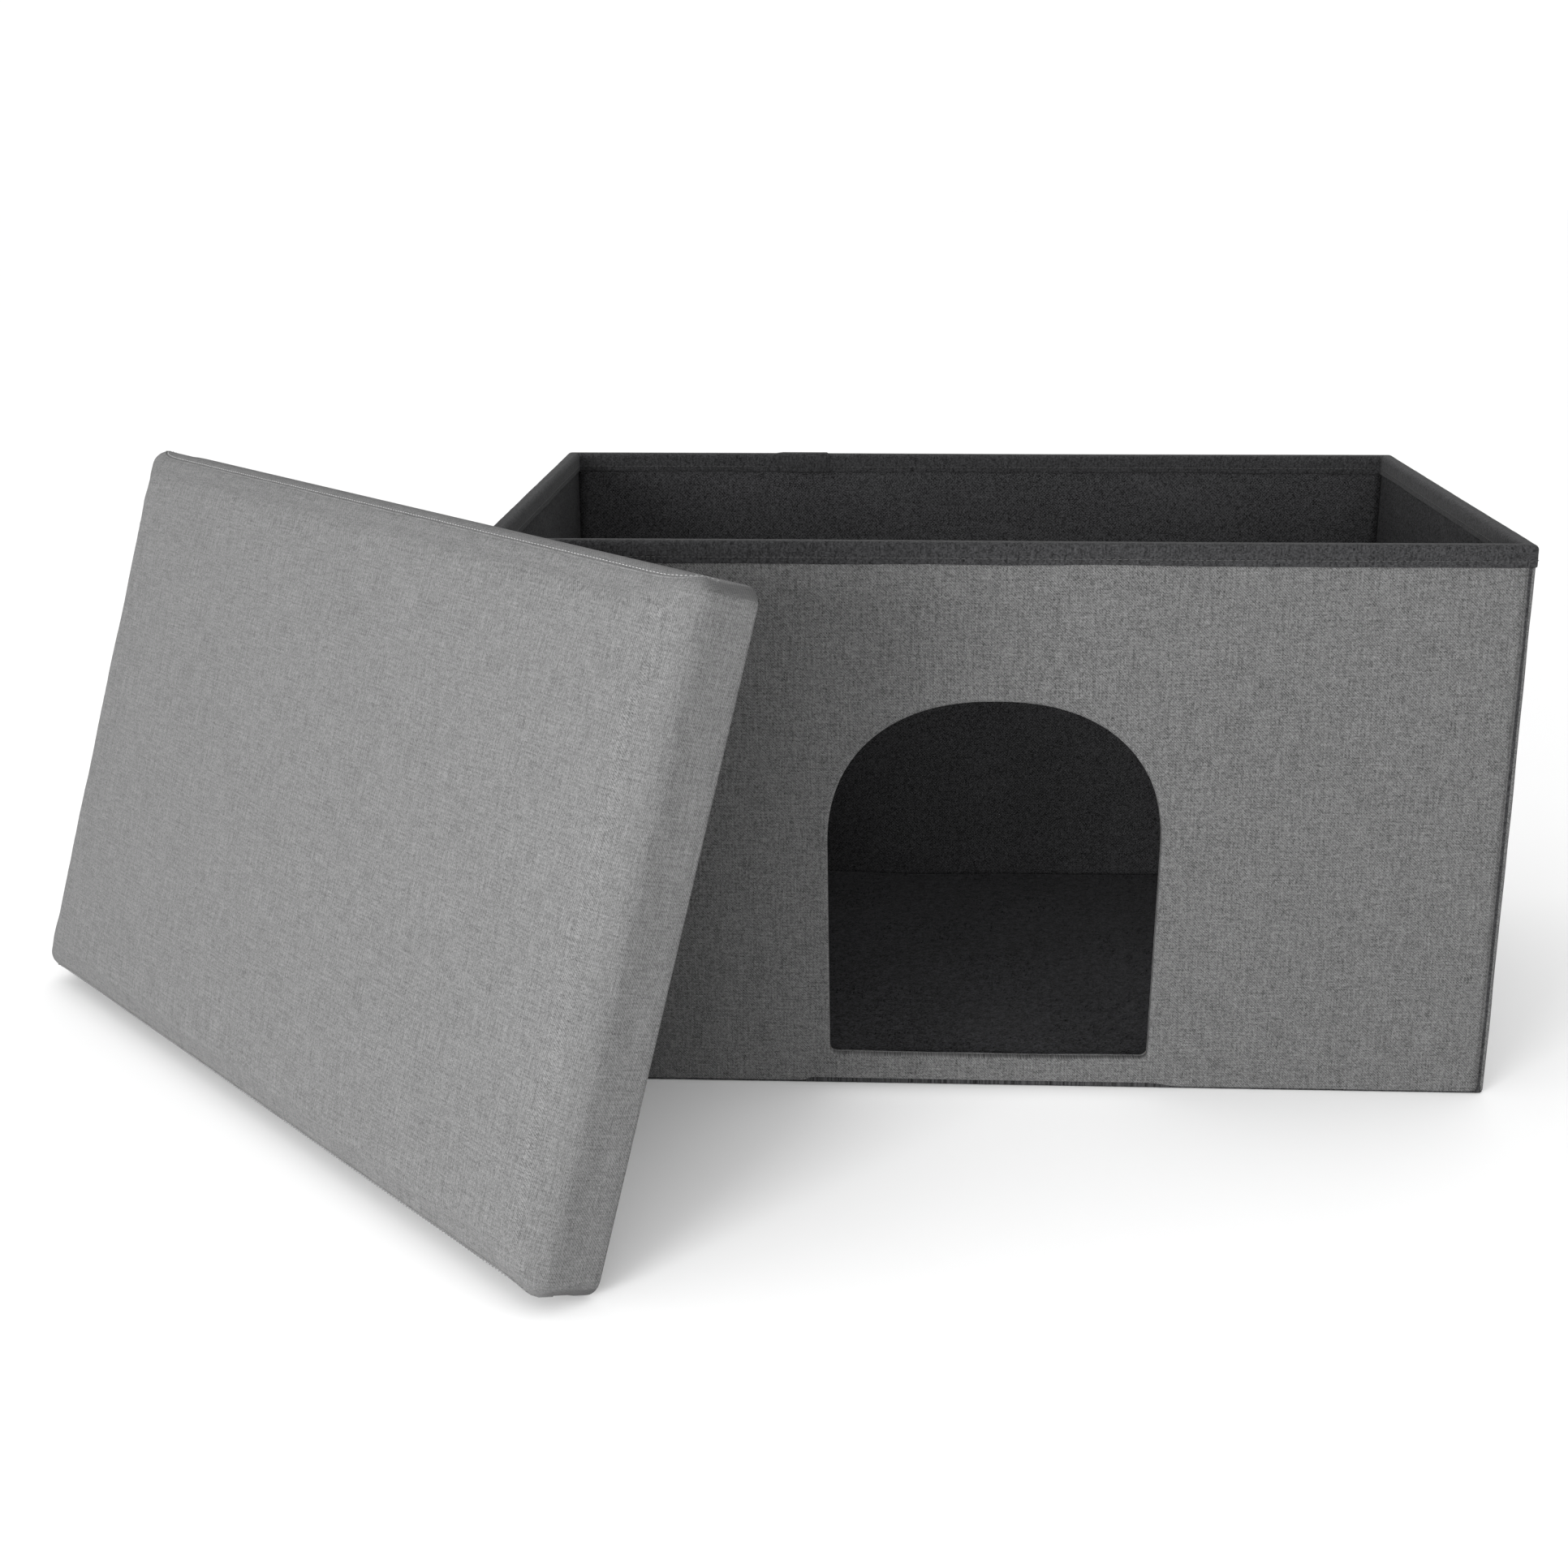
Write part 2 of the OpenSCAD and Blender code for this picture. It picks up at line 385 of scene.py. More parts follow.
@dataclass(frozen=True)
class Fleece:
    """Deep matted fleece."""

    name: str
    grey: float

    def material(self) -> bpy.types.Material:
        """Builds clumps of pile in two sizes, read from the place on the object."""
        net = Net(self.name)
        place = net.place()
        clump = net.noise(place, 170.0, 3.0) - 0.5
        pile = net.noise(place, 900.0, 4.0) - 0.5
        drift = net.noise(place, 11.0, 2.0) - 0.5
        shade = 0.92 + clump * 2.2 + pile * 0.9 + net.grain(place, 1.1 * MM) * 1.9 + drift * 0.8
        return net.surface(net.tinted(tone(self.grey, 2.0), shade), clump + pile * 0.7, 0.8 * MM, 0.95,
                           {"Sheen Weight": 0.08, "Sheen Roughness": 0.45, "Specular IOR Level": 0.08})


@dataclass(frozen=True)
class Thread:
    """Twisted sewing thread."""

    name: str
    grey: float

    def material(self) -> bpy.types.Material:
        """Builds a fine slanting twist along the thread."""
        net = Net(self.name)
        across, along = net.cloth()
        twist = ((along + across * 0.6) / (0.45 * MM)).hump()
        wear = net.noise(net.place(), 300.0) - 0.5
        return net.surface(net.tinted(tone(self.grey), 0.78 + twist * 0.4 + wear * 0.5), twist, 0.05 * MM,
                           0.55 + wear * 0.2, {"Specular IOR Level": 0.35})


@dataclass(frozen=True)
class Fibreboard:
    """Pressed brown fibreboard with a mottled face."""

    name: str

    def material(self) -> bpy.types.Material:
        """Builds flattened fibre flecks over a warm brown, read from the place on the object."""
        net = Net(self.name)
        place = net.place()
        fleck = net.noise(place, 420.0, 5.0) - 0.5
        cloud = net.noise(place, 24.0, 3.0).within(0.35, 0.7)
        colour = net.blend(cloud, (0.22, 0.13, 0.065), (0.31, 0.20, 0.105))
        toned = net.blend(fleck.within(-0.1, 0.25), colour, (0.42, 0.30, 0.18))
        return net.surface(toned, fleck, 0.1 * MM, 0.62 + fleck * 0.3, {})


@dataclass(frozen=True)
class Wire:
    """Drawn steel staple wire."""

    name: str

    def material(self) -> bpy.types.Material:
        """Builds drawn streaks and a few dull spots, read from the place on the object."""
        net = Net(self.name)
        place = net.place()
        streak = net.noise(place, 1500.0, 2.0) - 0.5
        dull = net.noise(place, 90.0, 3.0).within(0.55, 0.75)
        colour = net.blend(dull, (0.60, 0.61, 0.63), (0.30, 0.29, 0.28))
        return net.surface(colour, streak, 0.02 * MM, 0.28 + dull * 0.3 + streak * 0.1, {"Metallic": 0.95})


@dataclass(frozen=True)
class StudioFloor:
    """Pale matt studio floor."""

    name: str

    def material(self) -> bpy.types.Material:
        """Builds a plain pale floor with the faintest mottling."""
        net = Net(self.name)
        mottle = net.noise(net.place(), 4.0, 4.0) - 0.5
        return net.surface(net.tinted((0.93, 0.93, 0.93), 1.0 + mottle * 0.02), mottle, 0.1 * MM, 0.85, {})


# ---------------------------------------------------------------------------
# Surfaces
# ---------------------------------------------------------------------------


def smooth(x: np.ndarray, low: float, high: float) -> np.ndarray:
    """Smooth step from 0 at low to 1 at high: 3t^2 - 2t^3 of the clamped fraction."""
    t = np.clip((x - low) / (high - low), 0.0, 1.0)
    return t * t * (3.0 - 2.0 * t)


def ripple(x: np.ndarray, y: np.ndarray, length: float, seed: int, waves: int = 7) -> np.ndarray:
    """A gentle random surface: a mean of plane waves of about the given length, from -1 to 1.

    Args:
        x, y: the places.
        length: the typical wavelength, in the places' units.
        seed: which surface.
        waves: how many plane waves are summed.

    Returns:
        The surface's height at each place.
    """
    chance = np.random.default_rng(SEED + seed)
    total = np.zeros(np.broadcast(x, y).shape)
    for angle, stretch, phase in zip(chance.uniform(0, math.tau, waves), chance.uniform(0.6, 1.7, waves),
                                     chance.uniform(0, math.tau, waves)):
        k = math.tau / (length * stretch)
        total += np.sin(k * (x * math.cos(angle) + y * math.sin(angle)) + phase)
    return total / math.sqrt(waves * 2.0)


@dataclass
class Surface:
    """One mesh in the making: points, faces of four corners, and each face corner's place on the cloth."""

    points: np.ndarray
    quads: np.ndarray
    corners: np.ndarray

    @classmethod
    def grid(cls, points: np.ndarray, cloth: np.ndarray, wrap: bool = False) -> "Surface":
        """A surface over a grid of points.

        Faces look along the cross product of the row step and the column step. Where wrap is true the last
        column joins the first, and the cloth map may have one column more than the points: its first column
        again, a turn further on.

        Args:
            points: rows by columns by 3.
            cloth: rows by columns by 2, in metres.
            wrap: whether the columns close on themselves.

        Returns:
            The surface.
        """
        rows, columns = points.shape[:2]
        if wrap and cloth.shape[1] == columns:
            cloth = np.concatenate([cloth, cloth[:, :1]], 1)
        spans = columns if wrap else columns - 1
        i, j = np.meshgrid(np.arange(rows - 1), np.arange(spans), indexing="ij")
        i, j = i.ravel(), j.ravel()
        after = (j + 1) % columns
        quads = np.stack([i * columns + j, (i + 1) * columns + j,
                          (i + 1) * columns + after, i * columns + after], 1)
        corners = np.stack([cloth[i, j], cloth[i + 1, j], cloth[i + 1, j + 1], cloth[i, j + 1]], 1)
        return cls(points.reshape(-1, 3), quads, corners)

    def flipped(self) -> "Surface":
        """The same surface with its faces looking the other way."""
        return Surface(self.points, self.quads[:, ::-1], self.corners[:, ::-1])

    def joined(self, *others: "Surface") -> "Surface":
        """This surface and the others as one."""
        parts = [self, *others]
        starts = np.cumsum([0] + [len(p.points) for p in parts[:-1]])
        return Surface(np.concatenate([p.points for p in parts]),
                       np.concatenate([p.quads + s for p, s in zip(parts, starts)]),
                       np.concatenate([p.corners for p in parts]))

    def build(self, name: str, material: bpy.types.Material) -> bpy.types.Object:
        """Makes the Blender object, smooth shaded, with its cloth map.

        Args:
            name: the piece's name.
            material: its finish.

        Returns:
            The object, at the origin.
        """
        mesh = bpy.data.meshes.new(name)
        count = len(self.quads)
        mesh.vertices.add(len(self.points))
        mesh.vertices.foreach_set("co", self.points.astype(np.float32).ravel())
        mesh.loops.add(count * 4)
        mesh.loops.foreach_set("vertex_index", self.quads.astype(np.int32).ravel())
        mesh.polygons.add(count)
        mesh.polygons.foreach_set("loop_start", np.arange(count, dtype=np.int32) * 4)
        mesh.polygons.foreach_set("use_smooth", np.ones(count, dtype=bool))
        mesh.update(calc_edges=True)
        layer = mesh.uv_layers.new(name=CLOTH_MAP)
        layer.data.foreach_set("uv", self.corners.astype(np.float32).ravel())
        mesh.validate()
        mesh.materials.append(material)
        piece = bpy.data.objects.new(name, mesh)
        bpy.context.scene.collection.objects.link(piece)
        return piece


def thicken(piece: bpy.types.Object, thickness: float) -> None:
    """Gives a sheet its thickness, inwards from its face."""
    solid = piece.modifiers.new("thickness", "SOLIDIFY")
    solid.thickness = thickness
    solid.offset = -1.0
    solid.use_even_offset = False


def weld(piece: bpy.types.Object, reach: float = 0.01 * MM) -> None:
    """Merges points that coincide, and leaves the faces' sides as they are."""
    work = bmesh.new()
    work.from_mesh(piece.data)
    bmesh.ops.remove_doubles(work, verts=work.verts, dist=reach)
    bmesh.ops.dissolve_degenerate(work, edges=work.edges, dist=reach)
    work.to_mesh(piece.data)
    work.free()


def drawn_in(ring: np.ndarray, y: float) -> np.ndarray:
    """One more ring, which closes a surface: the given ring with its two long sides drawn together at y."""
    cap = ring.copy()
    cap[:, 1] = y
    return cap[None]


def path_frame(path: np.ndarray, closed: bool) -> tuple[np.ndarray, np.ndarray]:
    """Unit tangents and running lengths of a path by central differences."""
    if closed:
        step = np.roll(path, -1, 0) - np.roll(path, 1, 0)
        gap = np.linalg.norm(np.roll(path, -1, 0) - path, axis=1)
        run = np.concatenate([[0.0], np.cumsum(gap)])
    else:
        step = np.gradient(path, axis=0)
        run = np.concatenate([[0.0], np.cumsum(np.linalg.norm(np.diff(path, axis=0), axis=1))])
    return step / np.linalg.norm(step, axis=1, keepdims=True), run


def resample(path: np.ndarray, spacing: float, closed: bool = False) -> np.ndarray:
    """Points at an even spacing along a path, by linear interpolation over its length.

    Only the first three columns are places. Further ones are carried along.
    """
    line = np.concatenate([path, path[:1]]) if closed else path
    run = np.concatenate([[0.0], np.cumsum(np.linalg.norm(np.diff(line[:, :3], axis=0), axis=1))])
    count = max(2, int(run[-1] / spacing))
    at = np.linspace(0.0, run[-1], count, endpoint=not closed)
    return np.stack([np.interp(at, run, line[:, k]) for k in range(line.shape[1])], 1)


@dataclass(frozen=True)
class Stitching:
    """A row of stitches: short threads that bow out of the cloth and dive back in."""

    pitch: float = 3.6 * MM
    share: float = 0.72
    radius: float = 0.32 * MM
    sides: int = 6
    rings: int = 5

    def along(self, path: np.ndarray, outward: np.ndarray, closed: bool = False) -> Surface:
        """Lays stitches along a path.

        Each stitch is a tube whose centre follows the path, lifted by a half sine, and whose radius follows
        the root of that sine, so it tapers into the cloth at both ends.

        Args:
            path: points of the stitch line on the cloth's face.
            outward: the cloth's outward direction, one vector or one for each point.
            closed: whether the line closes on itself.

        Returns:
            All the stitches as one surface.
        """
        marks = resample(np.concatenate([path, np.broadcast_to(outward, path.shape)], 1), self.pitch, closed)
        centre, out = marks[:, :3], marks[:, 3:]
        out = out / np.linalg.norm(out, axis=1, keepdims=True)
        tangent, _ = path_frame(centre, closed)
        side = np.cross(tangent, out)
        t = np.linspace(0.0, 1.0, self.rings)
        angle = np.linspace(0.0, math.tau, self.sides, endpoint=False)
        bow = np.sin(math.pi * t)
        run = (t - 0.5) * self.pitch * self.share
        thick = self.radius * np.sqrt(np.clip(bow, 0.02, 1.0))
        ring_centre = (centre[:, None] + tangent[:, None] * run[None, :, None]
                       + out[:, None] * (self.radius * (0.9 * bow - 0.35))[None, :, None])
        spoke = (side[:, None, None] * np.cos(angle)[None, None, :, None]
                 + out[:, None, None] * np.sin(angle)[None, None, :, None])
        points = ring_centre[:, :, None] + spoke * thick[None, :, None, None]
        count = len(centre)
        around = np.linspace(0, math.tau * self.radius, self.sides + 1)
        length, girth = np.meshgrid(run, around, indexing="ij")
        one = Surface.grid(points[0], np.stack([girth, length], 2), wrap=True)
        quads = one.quads[None] + (np.arange(count) * self.rings * self.sides)[:, None, None]
        return Surface(points.reshape(-1, 3), quads.reshape(-1, 4), np.tile(one.corners, (count, 1, 1)))


# ---------------------------------------------------------------------------
# Settling pieces on their bodies
# ---------------------------------------------------------------------------


def settle(piece: bpy.types.Object, body: Body, slot: Slot, *nodes: str) -> bpy.types.Object:
    """Makes a piece ride on its body and stand for its CAD nodes."""
    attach(piece, body.value)
    if nodes:
        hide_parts(*nodes)
    log.info("%-26s on %-10s %7d faces, stands for %s", piece.name, body.value, len(piece.data.polygons),
             ", ".join(nodes) or "nothing")
    return piece


def redress(material: bpy.types.Material, *nodes: str) -> None:
    """Gives carried-over CAD nodes a finish."""
    for name in nodes:
        data = frame["nodes"][name].data
        data.materials.clear()
        data.materials.append(material)
        log.info("%-26s keeps its CAD shape", name)


# ---------------------------------------------------------------------------
# The box
# ---------------------------------------------------------------------------


@dataclass
class Plan:
    """The box seen from above: a rounded rectangle that can be grown or shrunk."""

    width: float
    depth: float
    radius: float = 3.6 * MM
    along_front: int = 130
    along_side: int = 84
    round_corner: int = 7

    def loop(self, grow: float) -> tuple[np.ndarray, np.ndarray]:
        """The outline anticlockwise from the front left corner's end, grown outwards.

        Args:
            grow: how far outside the plan the outline lies.

        Returns:
            The points and the outward directions, each count by 2. Every grow gives the same count.
        """
        radius = max(self.radius + grow, 0.4 * MM)
        half = np.array([self.width / 2 + grow - radius, self.depth / 2 + grow - radius])
        turns = [(-90.0, (1, -1)), (0.0, (1, 1)), (90.0, (-1, 1)), (180.0, (-1, -1))]
        runs = [self.along_front, self.along_side, self.along_front, self.along_side]
        points, normals = [], []
        for (start, corner), count in zip(turns, runs):
            face = np.array([math.cos(math.radians(start)), math.sin(math.radians(start))])
            ahead = np.array([-face[1], face[0]])
            middle = half * np.array(corner)
            reach = 2.0 * abs(float(half @ np.abs(ahead)))
            back = np.linspace(reach, 0.0, count, endpoint=False)
            points.append(middle + face * radius - ahead * back[:, None])
            normals.append(np.repeat(face[None], count, 0))
            angle = np.radians(start + np.linspace(0.0, 90.0, self.round_corner, endpoint=False))
            spokes = np.stack([np.cos(angle), np.sin(angle)], 1)
            points.append(middle + spokes * radius)
            normals.append(spokes)
        return np.concatenate(points), np.concatenate(normals)


@dataclass
class Doorway:
    """The arched doorway: a power-curve arch on nearly upright sides with small rounded lower corners."""

    half: float
    sill_half: float
    sill: float
    spring: float
    top: float
    power: float = 2.3
    corner: float = 4.5 * MM
    sag: float = 0.7 * MM

    def outline(self, grow: float, count: int = 640) -> np.ndarray:
        """The outline about the doorway's middle, as x and z at even angles.

        The arch is |x/a|^p + |z/b|^p = 1 above the spring. Below it the sides run straight to the sill.

        Args:
            grow: how far outside the opening's edge the outline lies.
            count: how many angles.

        Returns:
            The points, count by 2, at angles from -pi to pi.
        """
        rise = self.top - self.spring + grow
        a = np.linspace(0.0, math.pi, 181)
        c, s = np.cos(a), np.sin(a)
        arch = np.stack([(self.half + grow) * np.sign(c) * np.abs(c) ** (2 / self.power),
                         self.spring + rise * np.abs(s) ** (2 / self.power)], 1)
        turn = np.radians(np.linspace(180.0, 270.0, 12))
        reach, floor, round_r = self.sill_half + grow, self.sill - grow, self.corner + grow
        spokes = np.stack([1 + np.cos(turn), 1 + np.sin(turn)], 1)
        corner = np.array([-reach, floor]) + round_r * spokes
        side = np.linspace(arch[-1], corner[0], 60)[1:-1]
        left = np.concatenate([side, corner])
        x = np.linspace(-reach + round_r, reach - round_r, 60)[1:-1]
        sill = np.stack([x, floor - self.sag * (1 - (x / (reach - round_r)) ** 2)], 1)
        right = left[::-1] * np.array([-1.0, 1.0])
        ring = np.concatenate([arch, left, sill, right])
        centre = self.middle()
        angle = np.unwrap(np.arctan2(ring[:, 1] - centre[1], ring[:, 0]))
        radius = np.hypot(ring[:, 0], ring[:, 1] - centre[1])
        at = np.linspace(-math.pi, math.pi, count, endpoint=False)
        order = np.argsort((angle + math.pi) % math.tau)
        known = ((angle + math.pi) % math.tau - math.pi)[order]
        far = np.interp(at, known, radius[order], period=math.tau)
        return np.stack([far * np.cos(at), centre[1] + far * np.sin(at)], 1)

    def middle(self) -> np.ndarray:
        """A point well inside the doorway, which the outlines are measured round."""
        return np.array([0.0, (self.sill + self.spring) / 2 + 15.0 * MM])


@dataclass
class Box:
    """The open box: outer cloth, lining, binding, doorway edge and seams."""

    linen: bpy.types.Material
    lining: bpy.types.Material
    tape: bpy.types.Material
    thread: bpy.types.Material
    pale_thread: bpy.types.Material
    seam_inset: float = 6.0 * MM
    cloth_t: float = 1.1 * MM
    lining_t: float = 0.8 * MM
    hem_t: float = 1.2 * MM
    binding_h: float = 14.0 * MM
    foot_round: float = 1.5 * MM
    reveal_round: float = 1.4 * MM
    spring_height: float = 169.0 * MM
    lap_from: float = -165.0 * MM
    lap_to: float = -120.0 * MM
    lap_shift: float = 300.0 * MM
    plan: Plan = field(init=False)
    door: Doorway = field(init=False)
    front_y: float = field(init=False)
    inner_x: float = field(init=False)
    inner_y: float = field(init=False)
    wall: float = field(init=False)
    low: float = field(init=False)
    top: float = field(init=False)
    lift_half: float = field(init=False)
    seam_x: float = field(init=False)

    def __post_init__(self) -> None:
        """Reads the box's sizes from the frame."""
        front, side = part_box("front_cover"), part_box("right_cover")
        inner_front, inner_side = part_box("front_lining"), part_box("right_lining")
        rim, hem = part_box("rim_binding"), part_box("doorway_hem")
        self.front_y = front[0][1]
        self.inner_y = inner_front[1][1]
        self.inner_x = inner_side[0][0]
        self.wall = self.inner_y - self.front_y
        self.low, self.top = front[0][2], rim[1][2]
        self.plan = Plan(2 * side[1][0], -2 * self.front_y)
        half = hem[1][0] - self.hem_t
        self.door = Doorway(half=half, sill_half=half - 2.3 * MM, sill=hem[0][2] + self.hem_t,
                            spring=self.spring_height, top=hem[1][2] - self.hem_t)
        self.lift_half = half + 12.0 * MM

    # -- outer cloth --

    def lift(self, x: np.ndarray, z: np.ndarray) -> np.ndarray:
        """How far the strip under the doorway is drawn up off the floor, in a smooth window across it."""
        window = smooth(x, -self.lift_half - 4 * MM, -self.lift_half + 2 * MM) * (
            1 - smooth(x, self.lift_half - 14 * MM, self.lift_half + 8 * MM))
        return 2.2 * MM * window * (1 - smooth(z, 2 * MM, 18 * MM))

    def slack(self, s: np.ndarray, z: np.ndarray, seed: int) -> np.ndarray:
        """How far the outer cloth stands off its board: slow waves, held at the binding and at the foot."""
        waves = 0.45 * MM * ripple(s, z, 0.16, seed) + 0.16 * MM * ripple(s, z, 0.045, seed + 1)
        held = smooth(self.top - z, 10 * MM, 40 * MM) * smooth(z, 2 * MM, 30 * MM)
        return waves * held - 0.1 * MM

    def heights(self, rows: int) -> tuple[np.ndarray, np.ndarray]:
        """The cloth's profile from under the foot to the rim: an arc at the foot, then the upright wall.

        Args:
            rows: how many rows the upright part has.

        Returns:
            How far each row is tucked in, and each row's height.
        """
        turn = np.radians(np.linspace(-90.0, 0.0, 7))
        r = self.foot_round
        foot_in = np.concatenate([[6 * MM], r - r * np.cos(turn)])
        foot_z = np.concatenate([[self.low - 0.3 * MM], self.low - 0.3 * MM + r + r * np.sin(turn)])
        wall_z = np.linspace(foot_z[-1], self.top - 1.6 * MM, rows)[1:]
        return np.concatenate([foot_in, np.zeros(rows - 1)]), np.concatenate([foot_z, wall_z])

    def wrap_cloth(self, side: str, run: slice, seed: int) -> None:
        """One outer panel that follows the plan's outline between two of its seams.

        A side wall has an upright fold crease at its middle.

        Args:
            side: which wall: right, back or left.
            run: which stretch of the plan's loop, as indices that may pass its end.
            seed: which slack waves it has.
        """
        ring, out = self.plan.loop(0.0)
        index = np.arange(run.start, run.stop) % len(ring)
        line, face = ring[index], out[index]
        s = np.concatenate([[0.0], np.cumsum(np.linalg.norm(np.diff(line, axis=0), axis=1))])
        tuck, z = self.heights(90)
        S, Z = np.meshgrid(s, z, indexing="ij")
        edge = np.minimum(S, s[-1] - S)
        stand = self.slack(S, Z, seed) - 0.7 * MM * np.exp(-(edge / (2.2 * MM)) ** 2)
        if side != "back":
            fold = line[:, 1][:, None] + 0.6 * MM * ripple(Z, 0 * Z, 0.2, seed + 2)
            stand = stand - 0.9 * MM * np.exp(-(fold / (3 * MM)) ** 2) + 0.35 * MM * np.exp(
                -((np.abs(fold) - 9 * MM) / (6 * MM)) ** 2)
        stand = np.clip(stand, -0.6 * MM, 1.2 * MM) - tuck[None]
        flat = line[:, None] + face[:, None] * stand[..., None]
        points = np.concatenate([flat, Z[..., None]], 2)
        piece = Surface.grid(points, np.stack([S, Z], 2)).build(f"{side}_cloth", self.linen)
        thicken(piece, self.cloth_t)
        settle(piece, Body.BOX, Slot.LINEN, f"{side}_cover")

    def seam_index(self) -> int:
        """How many of the plan's front points lie between the corner and the seam."""
        ring, _ = self.plan.loop(0.0)
        front = ring[: self.plan.along_front]
        return int(np.argmin(np.abs(front[:, 0] - (-self.plan.width / 2 + self.seam_inset))))

    def cloth_round_box(self) -> None:
        """The two side panels, which turn the corners, and the back panel between their seams."""
        n, k = self.plan, self.seam_index()
        side_start = n.along_front - k
        back_start = n.along_front + n.along_side + 2 * n.round_corner + k
        left_start = back_start + n.along_front - 2 * k
        around = 2 * (n.along_front + n.along_side) + 4 * n.round_corner
        self.wrap_cloth("right", slice(side_start, back_start + 1), 11)
        self.wrap_cloth("back", slice(back_start, left_start + 1), 21)
        self.wrap_cloth("left", slice(left_start, around + k + 1), 31)
        self.seam_x = abs(float(n.loop(0.0)[0][side_start % around][0]))

    def ring_points(self, inner: np.ndarray, low: float, high: float, half: float, rows: int) -> np.ndarray:
        """A grid from the doorway's outline to the edges of a rectangle, rows crowding towards the doorway.

        Args:
            inner: the doorway's outline, count by 2.
            low, high: the rectangle's heights.
            half: half the rectangle's width.
            rows: how many rows.

        Returns:
            The x and z of each point, rows by count by 2. Row 0 is on the doorway.
        """
        centre = self.door.middle()
        ray = inner - centre
        reach_x = np.where(ray[:, 0] > 0, half, -half) / np.where(np.abs(ray[:, 0]) < 1e-9, 1e-9, ray[:, 0])
        reach_z = (np.where(ray[:, 1] > 0, high, low) - centre[1]) / np.where(
            np.abs(ray[:, 1]) < 1e-9, 1e-9, ray[:, 1])
        reach = np.minimum(np.abs(reach_x), np.abs(reach_z))
        outer = centre + ray * reach[:, None]
        for x in (-half, half):
            for z in (low, high):
                outer[np.argmin(np.hypot(outer[:, 0] - x, outer[:, 1] - z))] = (x, z)
        t = np.linspace(0.0, 1.0, rows) ** 1.6
        return inner[None] + (outer - inner)[None] * t[:, None, None]

    def front_cloth(self) -> None:
        """The front panel round the doorway, with the ridge of its turned allowance over the arch."""
        inner = self.door.outline(self.reveal_round)
        flat = self.ring_points(inner, self.low + self.foot_round, self.top - 1.6 * MM, self.seam_x, 62)
        x, z = flat[..., 0], flat[..., 1]
        gap = np.linalg.norm(flat - inner[None], axis=2) + self.reveal_round
        over = smooth(z, self.door.spring - 30 * MM, self.door.top - 10 * MM)
        allowance = 6.6 * MM
        ridge = np.exp(-((gap - allowance) / (1.0 * MM)) ** 2)
        plateau = 1 - smooth(gap, allowance - 0.8 * MM, allowance + 0.6 * MM)
        stand = self.slack(x, z, 3) * smooth(gap, 2 * MM, 25 * MM)
        stand = stand + ridge * (0.1 + 0.5 * over) * MM + plateau * (0.25 + 0.55 * over) * MM
        edge = self.seam_x - np.abs(x)
        stand = stand - 0.7 * MM * np.exp(-(edge / (2.2 * MM)) ** 2)
        z = z + self.lift(x, z)
        points = np.stack([x, self.front_y - np.clip(stand, -0.6 * MM, 1.3 * MM), z], 2)
        points = np.concatenate([self.reveal_rows(), points, self.foot_rows(points[-1])])
        piece = Surface.grid(points, points[..., [0, 2]], wrap=True).build("front_cloth", self.linen)
        weld(piece)
        thicken(piece, self.cloth_t)
        settle(piece, Body.BOX, Slot.LINEN, "front_cover")
        opening = self.opening_area(0.0)
        height = self.top - self.low
        2 * self.seam_x
        2 * self.seam_x * height - opening

    def reveal_rows(self) -> np.ndarray:
        """The front cloth's first rows: from inside the doorway, round its edge in a quarter circle."""
        curl = np.radians(np.linspace(90.0, 0.0, 6))[:-1]
        grow = np.concatenate([[0.0], self.reveal_round * (1 - np.sin(curl))])
        depth = np.concatenate([[6 * MM], self.reveal_round * (1 - np.cos(curl))])
        rings = np.stack([self.door.outline(float(g)) for g in grow])
        y = self.front_y + depth[:, None] + 0 * rings[..., 0]
        return np.stack([rings[..., 0], y, rings[..., 1]], 2)

    def foot_rows(self, outer: np.ndarray) -> np.ndarray:
        """The front cloth's last rows: a quarter circle under the foot, and a little way in below the box.

        Args:
            outer: the cloth's outermost row. Only its points at the foot are turned under.

        Returns:
            The further rows.
        """
        turn = np.radians(np.linspace(0.0, 90.0, 7))[1:]
        low = outer[:, 2] < self.low + self.foot_round + 3 * MM
        sin_turn = np.where(low[None], np.sin(turn)[:, None], 0.0)
        cos_turn = np.where(low[None], np.cos(turn)[:, None], 1.0)
        foot = np.repeat(outer[None], len(turn), 0)
        foot[..., 1] += self.foot_round * (1 - cos_turn)
        foot[..., 2] -= (self.foot_round + 0.3 * MM) * sin_turn
        under = foot[-1:].copy()
        under[..., 1] += np.where(low, 5 * MM, 0.0)
        return np.concatenate([foot, under])

    def opening_area(self, grow: float) -> float:
        """The doorway's area by the shoelace rule."""
        ring = self.door.outline(grow)
        x, z = ring[:, 0], ring[:, 1]
        return float(abs(np.sum(x * np.roll(z, -1) - z * np.roll(x, -1))) / 2)

